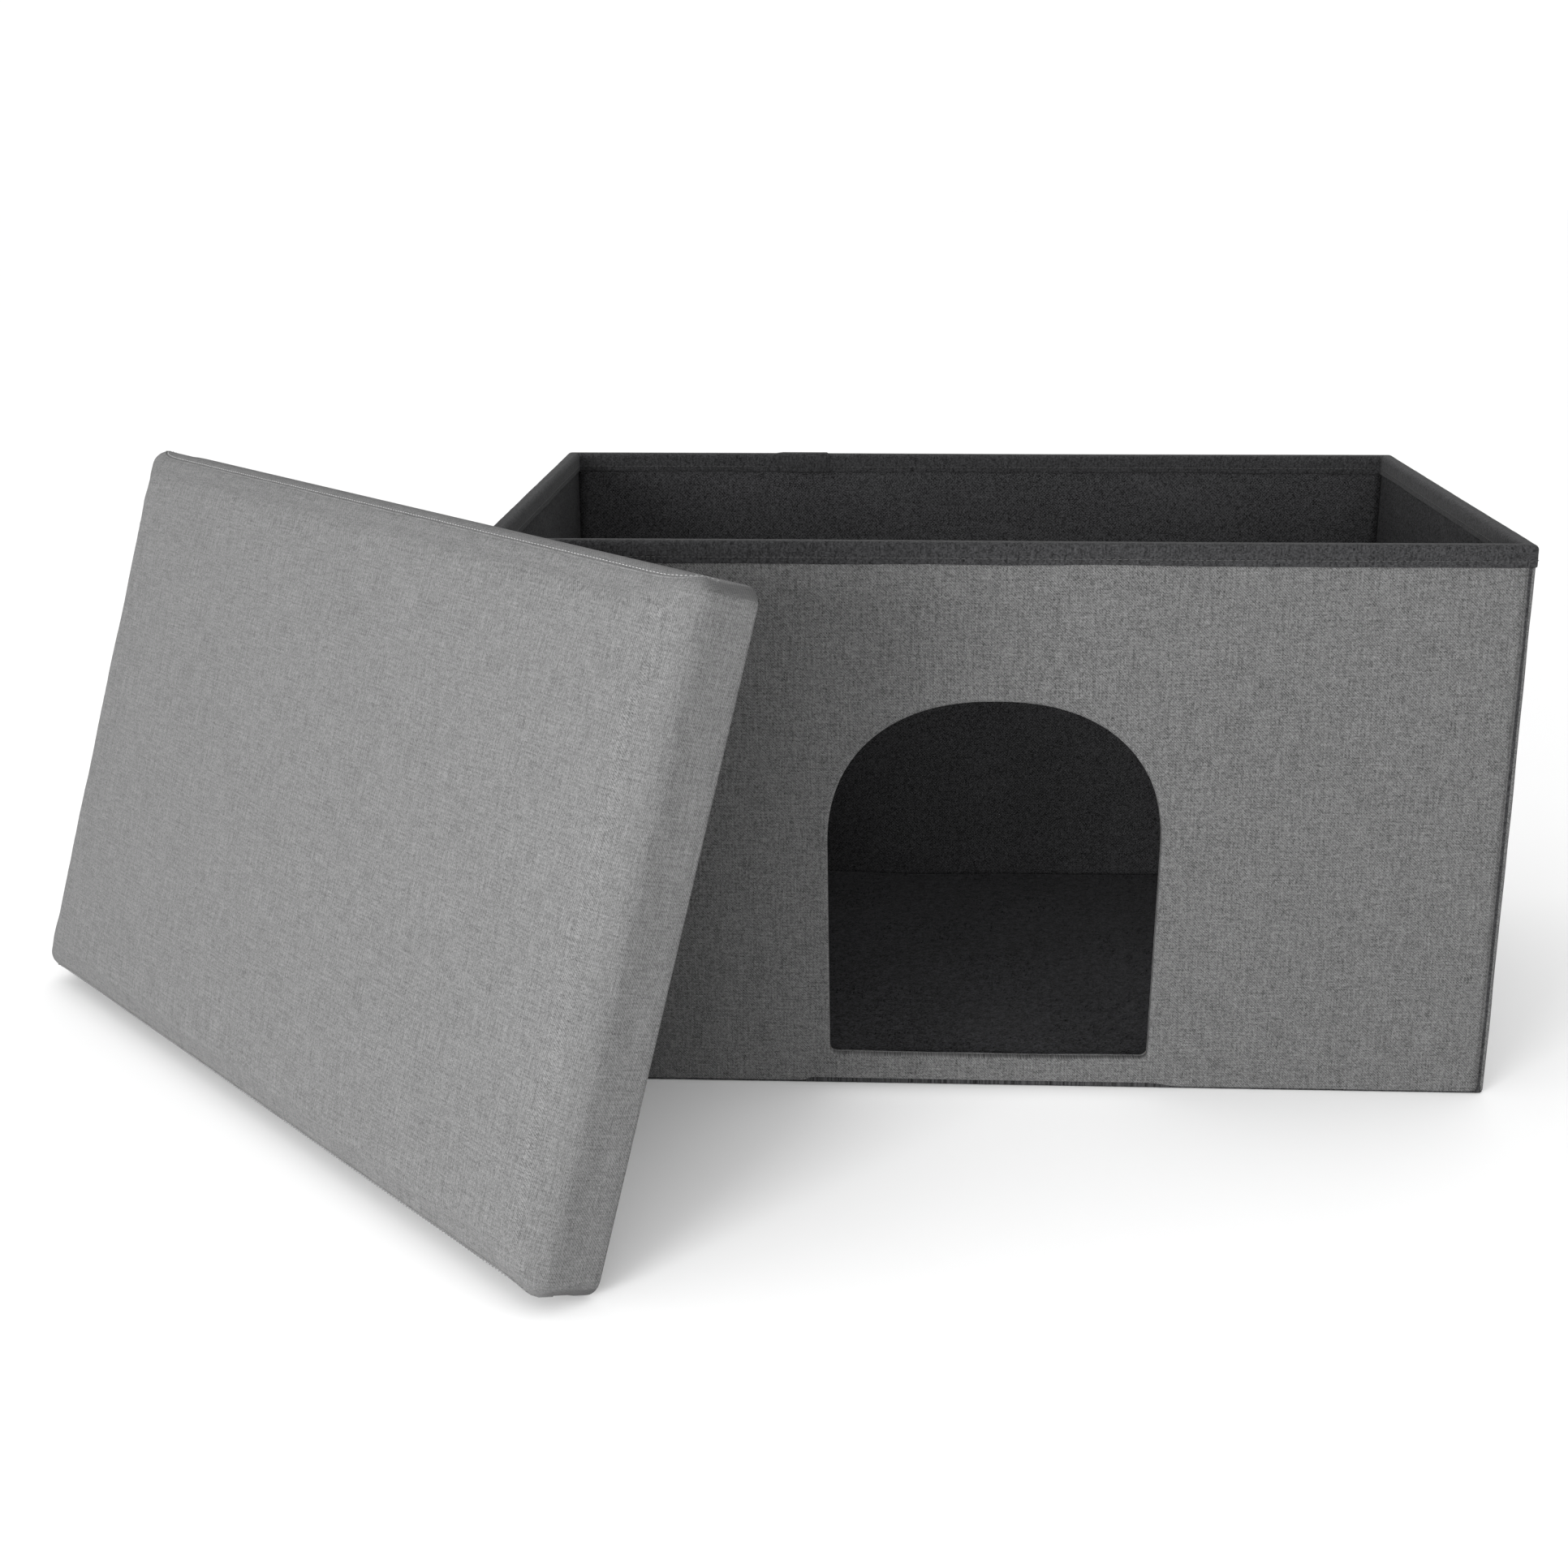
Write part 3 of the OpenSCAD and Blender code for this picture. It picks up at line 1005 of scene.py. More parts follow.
    def doorway_edge(self) -> None:
        """The cloth turned round the doorway: through the wall, and onto the lining inside."""
        r, wall = self.reveal_round, self.wall + 0.4 * MM
        turn = np.radians(np.linspace(0.0, 90.0, 6))
        grow = np.concatenate([[0.7 * MM, 0.6 * MM, 0.15 * MM, 0.1 * MM], r * (1 - np.cos(turn)), [6 * MM]])
        start = [2 * MM, 5.5 * MM, 6.4 * MM, 7.0 * MM]
        into = self.front_y + np.concatenate([start, wall - r + r * np.sin(turn), [wall]])
        rings = np.stack([self.door.outline(float(g)) for g in grow])
        wave = 0.18 * MM * ripple(rings[0, :, 0], rings[0, :, 1], 0.05, 5)
        points = np.stack([rings[..., 0], into[:, None] + 0 * rings[..., 0], rings[..., 1] + wave[None]], 2)
        run = np.concatenate([[0.0], np.cumsum(np.hypot(np.diff(grow), np.diff(into)))])
        cloth = np.stack([rings[..., 0], rings[..., 1] + 0.7 * run[:, None]], 2)
        piece = Surface.grid(points, cloth, wrap=True).flipped().build("doorway_turned_cloth", self.linen)
        thicken(piece, 0.7 * MM)
        settle(piece, Body.BOX, Slot.LINEN, "doorway_hem")

    # -- lining --

    def front_lining(self) -> None:
        """The lining of the front wall, round the doorway."""
        inner = self.door.outline(2.4 * MM)
        flat = self.ring_points(inner, self.low, self.top - 2 * MM, self.inner_x - 0.2 * MM, 30)
        x, z = flat[..., 0], flat[..., 1]
        stand = 0.25 * MM * ripple(x, z, 0.12, 41)
        points = np.stack([x, self.inner_y - 0.3 * MM + stand, z], 2)
        piece = Surface.grid(points, flat, wrap=True).flipped().build("front_lining_cloth", self.lining)
        thicken(piece, self.lining_t)
        settle(piece, Body.BOX, Slot.LINING, "front_lining")
        height = self.top - self.low
        2 * self.inner_x
        2 * self.inner_x * height - self.opening_area(2.4 * MM)

    def flat_lining(self, side: str, start: Sequence[float], ahead: Sequence[float], length: float,
                    seed: int) -> None:
        """One plain wall of lining. A side wall has the fold crease at its middle.

        Args:
            side: which wall: right, back or left.
            start: the wall's lower end, x and y.
            ahead: its direction, x and y, with the box's inside on its left.
            length: how long it is.
            seed: which waves it has.
        """
        s, z = np.linspace(0.0, length, 90), np.linspace(self.low, self.top - 2 * MM, 60)
        S, Z = np.meshgrid(s, z, indexing="ij")
        stand = 0.35 * MM * ripple(S, Z, 0.13, seed)
        edge = np.minimum(S, length - S)
        stand = stand * smooth(edge, 2 * MM, 20 * MM) - 0.3 * MM * np.exp(-(edge / (3 * MM)) ** 2)
        if side != "back":
            stand = stand - 0.8 * MM * np.exp(-((S - length / 2) / (2.5 * MM)) ** 2)
        way = np.array(ahead)
        inward = np.array([-way[1], way[0]])
        flat = np.array(start) + way * S[..., None] + inward * np.clip(stand, -0.6 * MM, 0.9 * MM)[..., None]
        points = np.concatenate([flat, Z[..., None]], 2)
        laid = Surface.grid(points, np.stack([S, Z], 2)).flipped()
        piece = laid.build(f"{side}_lining_cloth", self.lining)
        thicken(piece, self.lining_t)
        settle(piece, Body.BOX, Slot.LINING, f"{side}_lining")
        self.top - self.low

    def linings(self) -> None:
        """The four inner walls."""
        x, y, past = self.inner_x, -self.inner_y, 0.9 * MM
        self.front_lining()
        self.flat_lining("right", (x, -y - past), (0, 1), 2 * (y + past), 51)
        self.flat_lining("back", (x + past, y), (-1, 0), 2 * (x + past), 61)
        self.flat_lining("left", (-x, y + past), (0, -1), 2 * (y + past), 71)

    # -- binding and seams --

    def tape_profile(self) -> tuple[np.ndarray, np.ndarray]:
        """The folded tape's profile: up the outside, over the rim in two arcs, and down the inside.

        Returns:
            How far each point is outside the box, and its height above the foot of the tape's legs.
        """
        out, inn, r = 0.85 * MM, -self.wall - 0.85 * MM, 3.4 * MM
        turn = np.radians(np.linspace(0.0, 90.0, 8))
        high = self.binding_h
        outer_leg = [(0.1 * MM, -0.1 * MM), (out * 0.9, 0.1 * MM), (out * 1.05, 0.8 * MM), (out, 4 * MM),
                     (out, high * 0.55)]
        arc_out = [(out - r + r * math.cos(a), high - r + r * math.sin(a)) for a in turn]
        arc_in = [(inn + r - r * math.sin(a), high - r + r * math.cos(a)) for a in turn]
        inner_leg = [(inn, high * 0.55), (inn, 4 * MM), (inn * 1.01, 0.8 * MM), (inn + 0.1 * MM, 0.1 * MM),
                     (inn + 0.75 * MM, -0.1 * MM)]
        profile = np.array(outer_leg + arc_out + [((out + inn) / 2, high + 0.1 * MM)] + arc_in + inner_leg)
        return profile[:, 0], profile[:, 1]

    def binding(self) -> None:
        """The tape folded over the rim all the way round, with its overlap at the back."""
        grow, height = self.tape_profile()
        ring = np.stack([self.plan.loop(float(g))[0] for g in grow])
        _, run = path_frame(ring[len(grow) // 2], True)
        s = run[:-1]
        sway = 0.35 * MM * ripple(s, 0 * s, 0.11, 81) + 0.15 * MM * ripple(s, 0 * s, 0.02, 82)
        legs = np.clip(1 - height / (6 * MM), 0, 1)[:, None]
        z = self.top - self.binding_h + height[:, None] + legs * sway[None]
        z = z + 0.25 * MM * ripple(s, 0 * s, 0.3, 83)[None] * (1 - legs) - 0.35 * MM
        out = self.plan.loop(0.0)[1]
        puff = 0.16 * MM * ripple(np.repeat(s[None], len(grow), 0), height[:, None] + 0 * s[None], 0.012, 84)
        side = np.sign(grow + self.wall / 2)[:, None]
        flat = ring + out[None] * (puff * side)[..., None]
        points = np.concatenate([flat, z[..., None]], 2)
        across = np.concatenate([[0.0], np.cumsum(np.hypot(np.diff(grow), np.diff(height)))])
        U, V = np.meshgrid(across, run, indexing="ij")
        tape = Surface.grid(points, np.stack([U, V], 2), wrap=True)
        piece = tape.flipped().build("rim_tape", self.tape)
        thicken(piece, 0.6 * MM)
        settle(piece, Body.BOX, Slot.TAPE, "rim_binding")
        self.tape_overlap(points, across, run)
        for name, line, facing in (("outside", points[3], 1), ("inside", points[-4], -1)):
            normal = np.concatenate([out * facing, np.zeros((len(out), 1))], 1)
            stitches = Stitching().along(line + normal * 0.05 * MM, normal, closed=True)
            settle(stitches.build(f"rim_stitches_{name}", self.thread), Body.BOX, Slot.TAPE)

    def tape_overlap(self, points: np.ndarray, across: np.ndarray, run: np.ndarray) -> None:
        """The end of the tape lapped over its start, on the back rim.

        Args:
            points: the tape's grid.
            across: the running width of the tape.
            run: the running length of the tape.
        """
        back = points[len(across) // 2]
        wanted = (back[:, 1] > 0) & (back[:, 0] > self.lap_from) & (back[:, 0] < self.lap_to)
        index = np.flatnonzero(wanted)
        part = points[:, index]
        normal = np.cross(np.gradient(part, axis=1), np.gradient(part, axis=0))
        normal /= np.linalg.norm(normal, axis=2, keepdims=True)
        fade = np.minimum(np.arange(len(index)), 1)[None, :, None]
        part = part + normal * (0.1 * MM + 0.6 * MM * fade[:, ::-1])
        U, V = np.meshgrid(across, run[index], indexing="ij")
        other_end = np.stack([U, V + self.lap_shift], 2)
        piece = Surface.grid(part, other_end).flipped().build("rim_tape_overlap", self.tape)
        thicken(piece, 0.5 * MM)
        settle(piece, Body.BOX, Slot.TAPE)

    def corner_seams(self) -> None:
        """The four upright seams: a narrow sunk ridge between the panels, with stitches along it."""
        x, low, high = self.seam_x, self.low + 2 * MM, self.top - self.binding_h + 1 * MM
        z = np.linspace(low, high, 120)
        across = np.linspace(-1.0, 1.0, 9)
        stitching = Stitching(pitch=3.2 * MM, radius=0.24 * MM)
        ridges, rows = [], []
        for side in (-1, 1):
            for face in (-1, 1):
                wander = 0.25 * MM * ripple(z, 0 * z, 0.09, 90 + side + 2 * face)
                X, Z = np.meshgrid(across * 0.9 * MM, z, indexing="ij")
                proud = (1 - (X / (0.9 * MM)) ** 2) * 0.35 * MM - 0.35 * MM
                points = np.stack([side * x + X + wander[None], face * (-self.front_y + proud), Z], 2)
                ridge = Surface.grid(points, np.stack([X, Z], 2))
                ridges.append(ridge if face < 0 else ridge.flipped())
                line_x, line_y = side * (x - 2.6 * MM), face * (-self.front_y + 0.1 * MM)
                line = np.stack([line_x + 0 * z, line_y + 0 * z, z], 1)
                rows.append(stitching.along(line, np.array([0.0, face, 0.0])))
        piece = ridges[0].joined(*ridges[1:]).build("corner_seam_ridges", self.tape)
        settle(piece, Body.BOX, Slot.TAPE, "corner_seams")
        settle(rows[0].joined(*rows[1:]).build("corner_seam_stitches", self.thread), Body.BOX, Slot.TAPE)

    def crease_stitches(self) -> None:
        """A short bar of stitches at the top of each side wall's fold crease, inside."""
        z = np.linspace(self.top - 78 * MM, self.top - 38 * MM, 20)
        rows = []
        for side in (-1, 1):
            line = np.stack([side * (self.inner_x + 0.2 * MM) + 0 * z, 2.2 * MM + 0 * z, z], 1)
            rows.append(Stitching(pitch=2.6 * MM, radius=0.3 * MM).along(line, np.array([-side, 0.0, 0.0])))
        settle(rows[0].joined(rows[1]).build("crease_stitches", self.pale_thread), Body.BOX, Slot.LINING)

    def bottom(self) -> None:
        """The cloth under the box, which shows as a thin dark line along the foot."""
        _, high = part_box("bottom_cloth")
        far = self.plan.depth / 2 - 1 * MM
        flat_in = np.concatenate([[1.6 * MM], np.geomspace(2.5 * MM, far, 26)])
        inset = np.concatenate([[1.35 * MM, 1.35 * MM, 1.4 * MM], flat_in])
        height = np.concatenate([[5.0 * MM, 2.0 * MM, 1.4 * MM], np.full(len(flat_in), high[2] - 0.1 * MM)])
        rings = np.stack([self.plan.loop(-float(i))[0] for i in inset])
        z = height[:, None] + 0 * rings[..., 0]
        points = np.concatenate([rings, z[..., None]], 2)
        points = np.concatenate([points, drawn_in(points[-1], 0.0)])
        cloth = np.concatenate([rings, rings[-1:]])
        piece = Surface.grid(points, cloth, wrap=True).flipped().build("bottom_sheet", self.lining)
        weld(piece)
        thicken(piece, 0.9 * MM)
        settle(piece, Body.BOX, Slot.LINING, "bottom_cloth")

    def build(self) -> None:
        """Makes every piece of the box."""
        self.cloth_round_box()
        self.front_cloth()
        self.doorway_edge()
        self.linings()
        self.binding()
        self.corner_seams()
        self.crease_stitches()
        self.bottom()


# ---------------------------------------------------------------------------
# Loose slabs: base board and pad
# ---------------------------------------------------------------------------


def slab(low: np.ndarray, high: np.ndarray, corner: float, edge: float,
         dome: Callable[[np.ndarray, np.ndarray], np.ndarray], steps: int = 26) -> Surface:
    """A closed flat cushion between two corners.

    Rings of a rounded rectangle run from the middle of the top, over a round edge, to the middle of the
    bottom. Each ring at inset i keeps the corner's radius less i.

    Args:
        low, high: the slab's lowest and highest corners.
        corner: its corner radius in plan.
        edge: the radius of its round edge.
        dome: gives the height added to the top at x and y.
        steps: how many rings cross the top.

    Returns:
        The surface, with its cloth map laid flat.
    """
    size = high - low
    middle = (high + low) / 2
    plan = Plan(float(size[0]), float(size[1]), corner, 150, 90, 7)
    reach = float(size[1]) / 2 - 0.5 * MM
    flat = edge + (reach - edge) * (np.linspace(0.0, 1.0, steps) ** 1.5)
    half = float(size[2]) / 2
    lip = min(edge, half)
    down = np.radians(np.linspace(90.0, -90.0, 13))[1:]
    side = np.where(down < 0, -1.0, 1.0) * (half - lip + lip * np.sin(np.abs(down)))
    inset = np.concatenate([flat[::-1], edge - edge * np.cos(down), flat[1:]])
    height = np.concatenate([np.full(steps, half), side, np.full(steps - 1, -half)])
    rings = np.stack([plan.loop(-float(i))[0] for i in inset])
    top = (height > 0)[:, None]
    z = height[:, None] + np.where(top, dome(rings[..., 0], rings[..., 1]), 0.0)
    points = np.concatenate([rings + middle[:2], (z + middle[2])[..., None]], 2)
    points = np.concatenate([drawn_in(points[0], middle[1]), points, drawn_in(points[-1], middle[1])])
    run = np.concatenate([[0.0], np.cumsum(np.hypot(np.diff(inset), np.diff(height)))])
    over_side = np.maximum(run - run[steps], 0.0)
    cloth = rings + plan.loop(0.0)[1][None] * over_side[:, None, None]
    cloth = np.concatenate([cloth[:1], cloth, cloth[-1:]])
    return Surface.grid(points, cloth, wrap=True)


@dataclass
class BaseBoard:
    """The loose base board in its non-woven wrap."""

    lining: bpy.types.Material
    thread: bpy.types.Material

    def build(self) -> None:
        """Makes the wrapped board with a stitched edge."""
        low, high = (np.array(c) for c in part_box("base_board_wrap"))
        shape = slab(low, high, 4 * MM, 2.0 * MM, lambda x, y: 0.05 * MM * ripple(x, y, 0.1, 101))
        piece = shape.build("base_board_cloth", self.lining)
        weld(piece)
        thicken(piece, 0.4 * MM)
        settle(piece, Body.BASE, Slot.LINING, "base_board_wrap")
        size = high - low
        plan = Plan(float(size[0]), float(size[1]), 4 * MM)
        ring = plan.loop(-9 * MM)[0]
        line = np.concatenate([ring, np.full((len(ring), 1), float(high[2]) + 0.05 * MM)], 1)
        stitches = Stitching(pitch=4 * MM).along(line, np.array([0.0, 0.0, 1.0]), closed=True)
        settle(stitches.build("base_board_stitches", self.thread), Body.BASE, Slot.LINING)


@dataclass
class FleecePad:
    """The fleece pad: a thin quilted slab with a deep pile."""

    fleece: bpy.types.Material
    tufts: int = 15000
    blade: float = 4.2 * MM

    def surface_height(self, x: np.ndarray, y: np.ndarray) -> np.ndarray:
        """The pile's lie: slow hollows."""
        return 0.9 * MM * ripple(x, y, 0.14, 111) - 1.1 * MM

    def build(self) -> None:
        """Makes the pad and its pile of curved blades."""
        low, high = (np.array(c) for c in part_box("pad_cover"))
        shape = slab(low, high, 14 * MM, 5.4 * MM, self.surface_height, steps=40)
        piece = shape.build("fleece_pad", self.fleece)
        weld(piece)
        settle(piece, Body.PAD, Slot.FLEECE, "pad_cover", "pad_foam")
        settle(self.pile(low, high).build("fleece_pile", self.fleece), Body.PAD, Slot.FLEECE)

    def pile(self, low: np.ndarray, high: np.ndarray) -> Surface:
        """Short blades scattered over the top, crowded towards the doorway.

        Each blade is a strip of three cross lines that narrows and leans over: at height t its lean grows as
        t squared.

        Args:
            low, high: the pad's corners.

        Returns:
            All the blades as one surface.
        """
        chance = np.random.default_rng(SEED)
        edge = 6 * MM
        x = chance.uniform(low[0] + edge, high[0] - edge, self.tufts)
        y = low[1] + 3 * MM + (high[1] - low[1] - edge - 3 * MM) * chance.uniform(0, 1, self.tufts) ** 1.35
        middle = (high + low) / 2
        base = high[2] + self.surface_height(x - middle[0], y - middle[1]) - 0.3 * MM
        drift = 1.6 * ripple(x, y, 0.08, 113) + chance.normal(0, 0.7, self.tufts)
        lean = np.stack([np.cos(drift), np.sin(drift)], 1)
        wide = np.stack([-lean[:, 1], lean[:, 0]], 1)
        tall = self.blade * chance.uniform(0.5, 1.0, self.tufts)
        t = np.array([0.0, 0.5, 1.0])
        width = 0.42 * MM * np.array([1.0, 0.8, 0.15])
        centre = np.stack([x, y], 1)[:, None] + lean[:, None] * (tall[:, None] * 0.75 * t ** 2)[..., None]
        rise = base[:, None] + tall[:, None] * (t * (1 - 0.35 * t))[None] * 0.6
        left = centre - wide[:, None] * width[None, :, None]
        right = centre + wide[:, None] * width[None, :, None]
        points = np.stack([np.concatenate([left, rise[..., None]], 2),
                           np.concatenate([right, rise[..., None]], 2)], 2)
        count = self.tufts
        one = np.array([[0, 1, 3, 2], [2, 3, 5, 4]])
        quads = one[None] + (np.arange(count) * 6)[:, None, None]
        corners = np.zeros((count * 2, 4, 2))
        return Surface(points.reshape(-1, 3), quads.reshape(-1, 4), corners)


# ---------------------------------------------------------------------------
# The lid
# ---------------------------------------------------------------------------


@dataclass
class Lid:
    """The padded lid in its own frame: a along its length, b up its face, c out of its padded face."""

    cloth: bpy.types.Material
    lining: bpy.types.Material
    thread: bpy.types.Material
    corner: float = 12 * MM
    bullnose: float = 12 * MM
    back_edge: float = 3 * MM
    crown: float = 6 * MM
    voxel: float = 5 * MM
    cap: float = 5 * MM
    inward_cap: float = 0.4 * MM
    margin: float = 0.5 * MM
    recess: float = 0.7 * MM
    pressure: float = 4.0
    seam_start: float = 7 * MM
    seam_fade: float = 9 * MM
    seam_sink: float = 24 * MM
    seam_radius: float = 0.75 * MM
    ray_length: float = 52 * MM
    axes: np.ndarray = field(init=False)
    low: np.ndarray = field(init=False)
    size: np.ndarray = field(init=False)

    def __post_init__(self) -> None:
        """Reads the lid's frame from its joint and its sizes from its CAD node."""
        joint = next(j for j in frame["record"]["behaviour"]["joints"] if j["child"] == Body.LID.value)
        along = np.array(joint["axis"], dtype=float)
        along /= np.linalg.norm(along)
        lean = math.radians(joint["range_deg"][1] - 90.0)
        up = np.array([0.0, 0.0, 1.0])
        level = np.cross(up, along)
        face_up = math.cos(lean) * up + math.sin(lean) * level
        self.axes = np.stack([along, face_up, np.cross(along, face_up)])
        local = self.points_of(frame["nodes"]["lid_cover"]) @ self.axes.T
        self.low = local.min(0)
        self.size = local.max(0) - self.low

    def placed(self, local: np.ndarray) -> np.ndarray:
        """Points from the lid's own frame, measured from its lowest corner, to the object's frame."""
        return (local + self.low) @ self.axes

    def local(self, points: np.ndarray) -> np.ndarray:
        """Points from the object's frame to the lid's own, measured from its lowest corner."""
        return points @ self.axes.T - self.low

    def shape(self, shrink: float) -> Surface:
        """The cushion as rings from the middle of the padded face over the sides to the middle of the back.

        The face rises as a crown (1 - |x|^5)(1 - |y|^5), its edge is a quarter round, the sides are upright,
        the back edge is a small round, and the back is sunk a little inside it.

        Args:
            shrink: how much smaller than the real lid it is on every side but the back.

        Returns:
            The surface in the lid's own frame.
        """
        length, width, thick = self.size
        plan = Plan(float(length), float(width), self.corner, 150, 90, 8)
        r, e = self.bullnose, self.back_edge
        steps = 44
        reach = float(width) / 2 - 0.5 * MM
        flat = r + (reach - r) * (np.linspace(0.0, 1.0, steps) ** 1.25)
        over = np.radians(np.linspace(90.0, 0.0, 12))[1:]
        side_z = np.linspace(thick - r, e, 8)[1:-1]
        under = np.radians(np.linspace(0.0, 90.0, 6))
        back = e + np.concatenate([np.linspace(0.0, 26 * MM, 9), np.linspace(26 * MM, reach - e, 8)[1:]])
        inset = np.concatenate([flat[::-1], r - r * np.cos(over), np.zeros(len(side_z)),
                                e - e * np.cos(under), back[1:]])
        height = np.concatenate([np.full(steps, thick), thick - r + r * np.sin(over), side_z,
                                 e - e * np.sin(under), self.back_height(back[1:])])
        inset = inset + shrink * smooth(height, 12 * MM, 16 * MM)
        rings = np.stack([plan.loop(-float(i))[0] for i in inset])
        x, y = rings[..., 0] / (length / 2), rings[..., 1] / (width / 2)
        crown = self.crown * (1 - np.abs(x) ** 5.0) * (1 - np.abs(y) ** 5.0)
        lifted = smooth(height, thick - r, thick)[:, None]
        soft = 0.35 * MM * ripple(rings[..., 0], rings[..., 1], 0.09, 131)
        z = height[:, None] - shrink * lifted + (crown + soft) * lifted
        points = np.concatenate([rings, z[..., None]], 2)
        points = np.concatenate([drawn_in(points[0], 0.0), points, drawn_in(points[-1], 0.0)])
        points[..., :2] += np.array([length, width]) / 2
        return Surface.grid(points, np.zeros((*points.shape[:2], 2)), wrap=True)

    def back_height(self, inset: np.ndarray) -> np.ndarray:
        """How far the back is sunk: a little where the staples hold it, more under the black sheet."""
        return self.margin * smooth(inset, 8 * MM, 13 * MM) + self.recess * smooth(inset, 23 * MM, 27 * MM)

    def swell(self, piece: bpy.types.Object) -> None:
        """Blows up an evenly meshed copy with cloth simulation, and moves the cushion as the copy moved.

        Only the movement along each point's normal is kept, below a cap, and each point of the cushion takes
        the mean movement of the copy's nearest points, weighted by one over their distance.

        Args:
            piece: the cushion, in the object's frame.
        """
        copy = bpy.data.objects.new("swelling", piece.data.copy())
        scene = bpy.context.scene
        scene.collection.objects.link(copy)
        remesh = copy.modifiers.new("even", "REMESH")
        remesh.mode = "VOXEL"
        remesh.voxel_size = self.voxel
        self.apply(copy)
        start = self.points_of(copy)
        normals = self.points_of(copy, "normal")
        fixed = copy.vertex_groups.new(name="board")
        near_board = np.flatnonzero(self.local(start)[:, 2] < 11 * MM)
        fixed.add(near_board.tolist(), 1.0, "REPLACE")
        cloth = copy.modifiers.new("cloth", "CLOTH")
        cloth.settings.use_pressure = True
        cloth.settings.uniform_pressure_force = self.pressure
        cloth.settings.vertex_group_mass = fixed.name
        cloth.settings.tension_stiffness = 25
        cloth.settings.compression_stiffness = 20
        cloth.settings.bending_stiffness = 1.5
        cloth.settings.effector_weights.gravity = 0.0
        for step in range(1, 21):
            scene.frame_set(step)
        moved = self.points_of(copy.evaluated_get(bpy.context.evaluated_depsgraph_get()))
        out = np.sum((moved - start) * normals, axis=1, keepdims=True)
        cap = np.where(out > 0, self.cap, self.inward_cap)
        field = normals * (cap * np.tanh(out / cap))
        scene.frame_set(1)
        bpy.data.objects.remove(copy)
        tree = KDTree(len(start))
        for index, place in enumerate(start):
            tree.insert(place, index)
        tree.balance()
        points = self.points_of(piece)
        shift = np.zeros_like(points)
        for index, place in enumerate(points):
            near = tree.find_n(place, 10)
            weight = np.array([1.0 / (distance + 1 * MM) for _, _, distance in near])
            shift[index] = weight @ field[[found for _, found, _ in near]] / weight.sum()
        piece.data.vertices.foreach_set("co", (points + shift).astype(np.float32).ravel())
        piece.data.update()

    @staticmethod
    def points_of(piece: bpy.types.Object, kind: str = "co") -> np.ndarray:
        """The points of a piece's own mesh, or the normals at its points."""
        values = np.empty(len(piece.data.vertices) * 3)
        piece.data.vertices.foreach_get(kind, values)
        return values.reshape(-1, 3)

    @staticmethod
    def apply(piece: bpy.types.Object) -> None:
        """Makes the piece's modifiers part of its mesh."""
        evaluated = piece.evaluated_get(bpy.context.evaluated_depsgraph_get())
        old = piece.data
        piece.data = bpy.data.meshes.new_from_object(evaluated)
        piece.modifiers.clear()
        bpy.data.meshes.remove(old)
        piece.data.name = piece.name

    def lay_cloth(self, piece: bpy.types.Object) -> None:
        """Gives the cushion its cloth map: the face is laid flat, and the cloth runs on over the sides.

        On the sides, the drop below the face is added along the direction that the side faces.

        Args:
            piece: the cushion.
        """
        mesh = piece.data
        local = self.local(self.points_of(piece))
        facing = self.points_of(piece, "normal") @ self.axes.T
        length, width, thick = self.size
        x, y = local[:, 0] - length / 2, local[:, 1] - width / 2
        edge_x, edge_y = length / 2 - np.abs(x), width / 2 - np.abs(y)
        share = smooth(edge_y - edge_x, -8 * MM, 8 * MM)
        sideways = smooth(np.hypot(facing[:, 0], facing[:, 1]), 0.05, 0.6)
        on_back = facing[:, 2] < -0.6
        drop = (thick + self.crown * 0.2 - local[:, 2]) * np.maximum(sideways, on_back)
        back_in = np.where(on_back, np.minimum(edge_x, edge_y), 0.0)
        u = local[:, 0] + np.sign(x) * share * (drop + 2 * back_in)
        v = local[:, 1] + np.sign(y) * (1 - share) * (drop + 2 * back_in)
        laid = np.stack([u, v], 1)
        layer = mesh.uv_layers.get(CLOTH_MAP) or mesh.uv_layers.new(name=CLOTH_MAP)
        index = np.empty(len(mesh.loops), dtype=np.int32)
        mesh.loops.foreach_get("vertex_index", index)
        layer.data.foreach_set("uv", laid[index].astype(np.float32).ravel())

    def cushion(self) -> bpy.types.Object:
        """Makes the padded cover."""
        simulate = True
        form = self.shape(0.4 * MM if simulate else 0.0)
        form.points = self.placed(form.points)
        piece = form.build("lid_cushion", self.cloth)
        weld(piece)
        if simulate:
            self.swell(piece)
        self.lay_cloth(piece)
        settle(piece, Body.LID, Slot.LID, "lid_cover", "lid_foam")
        return piece

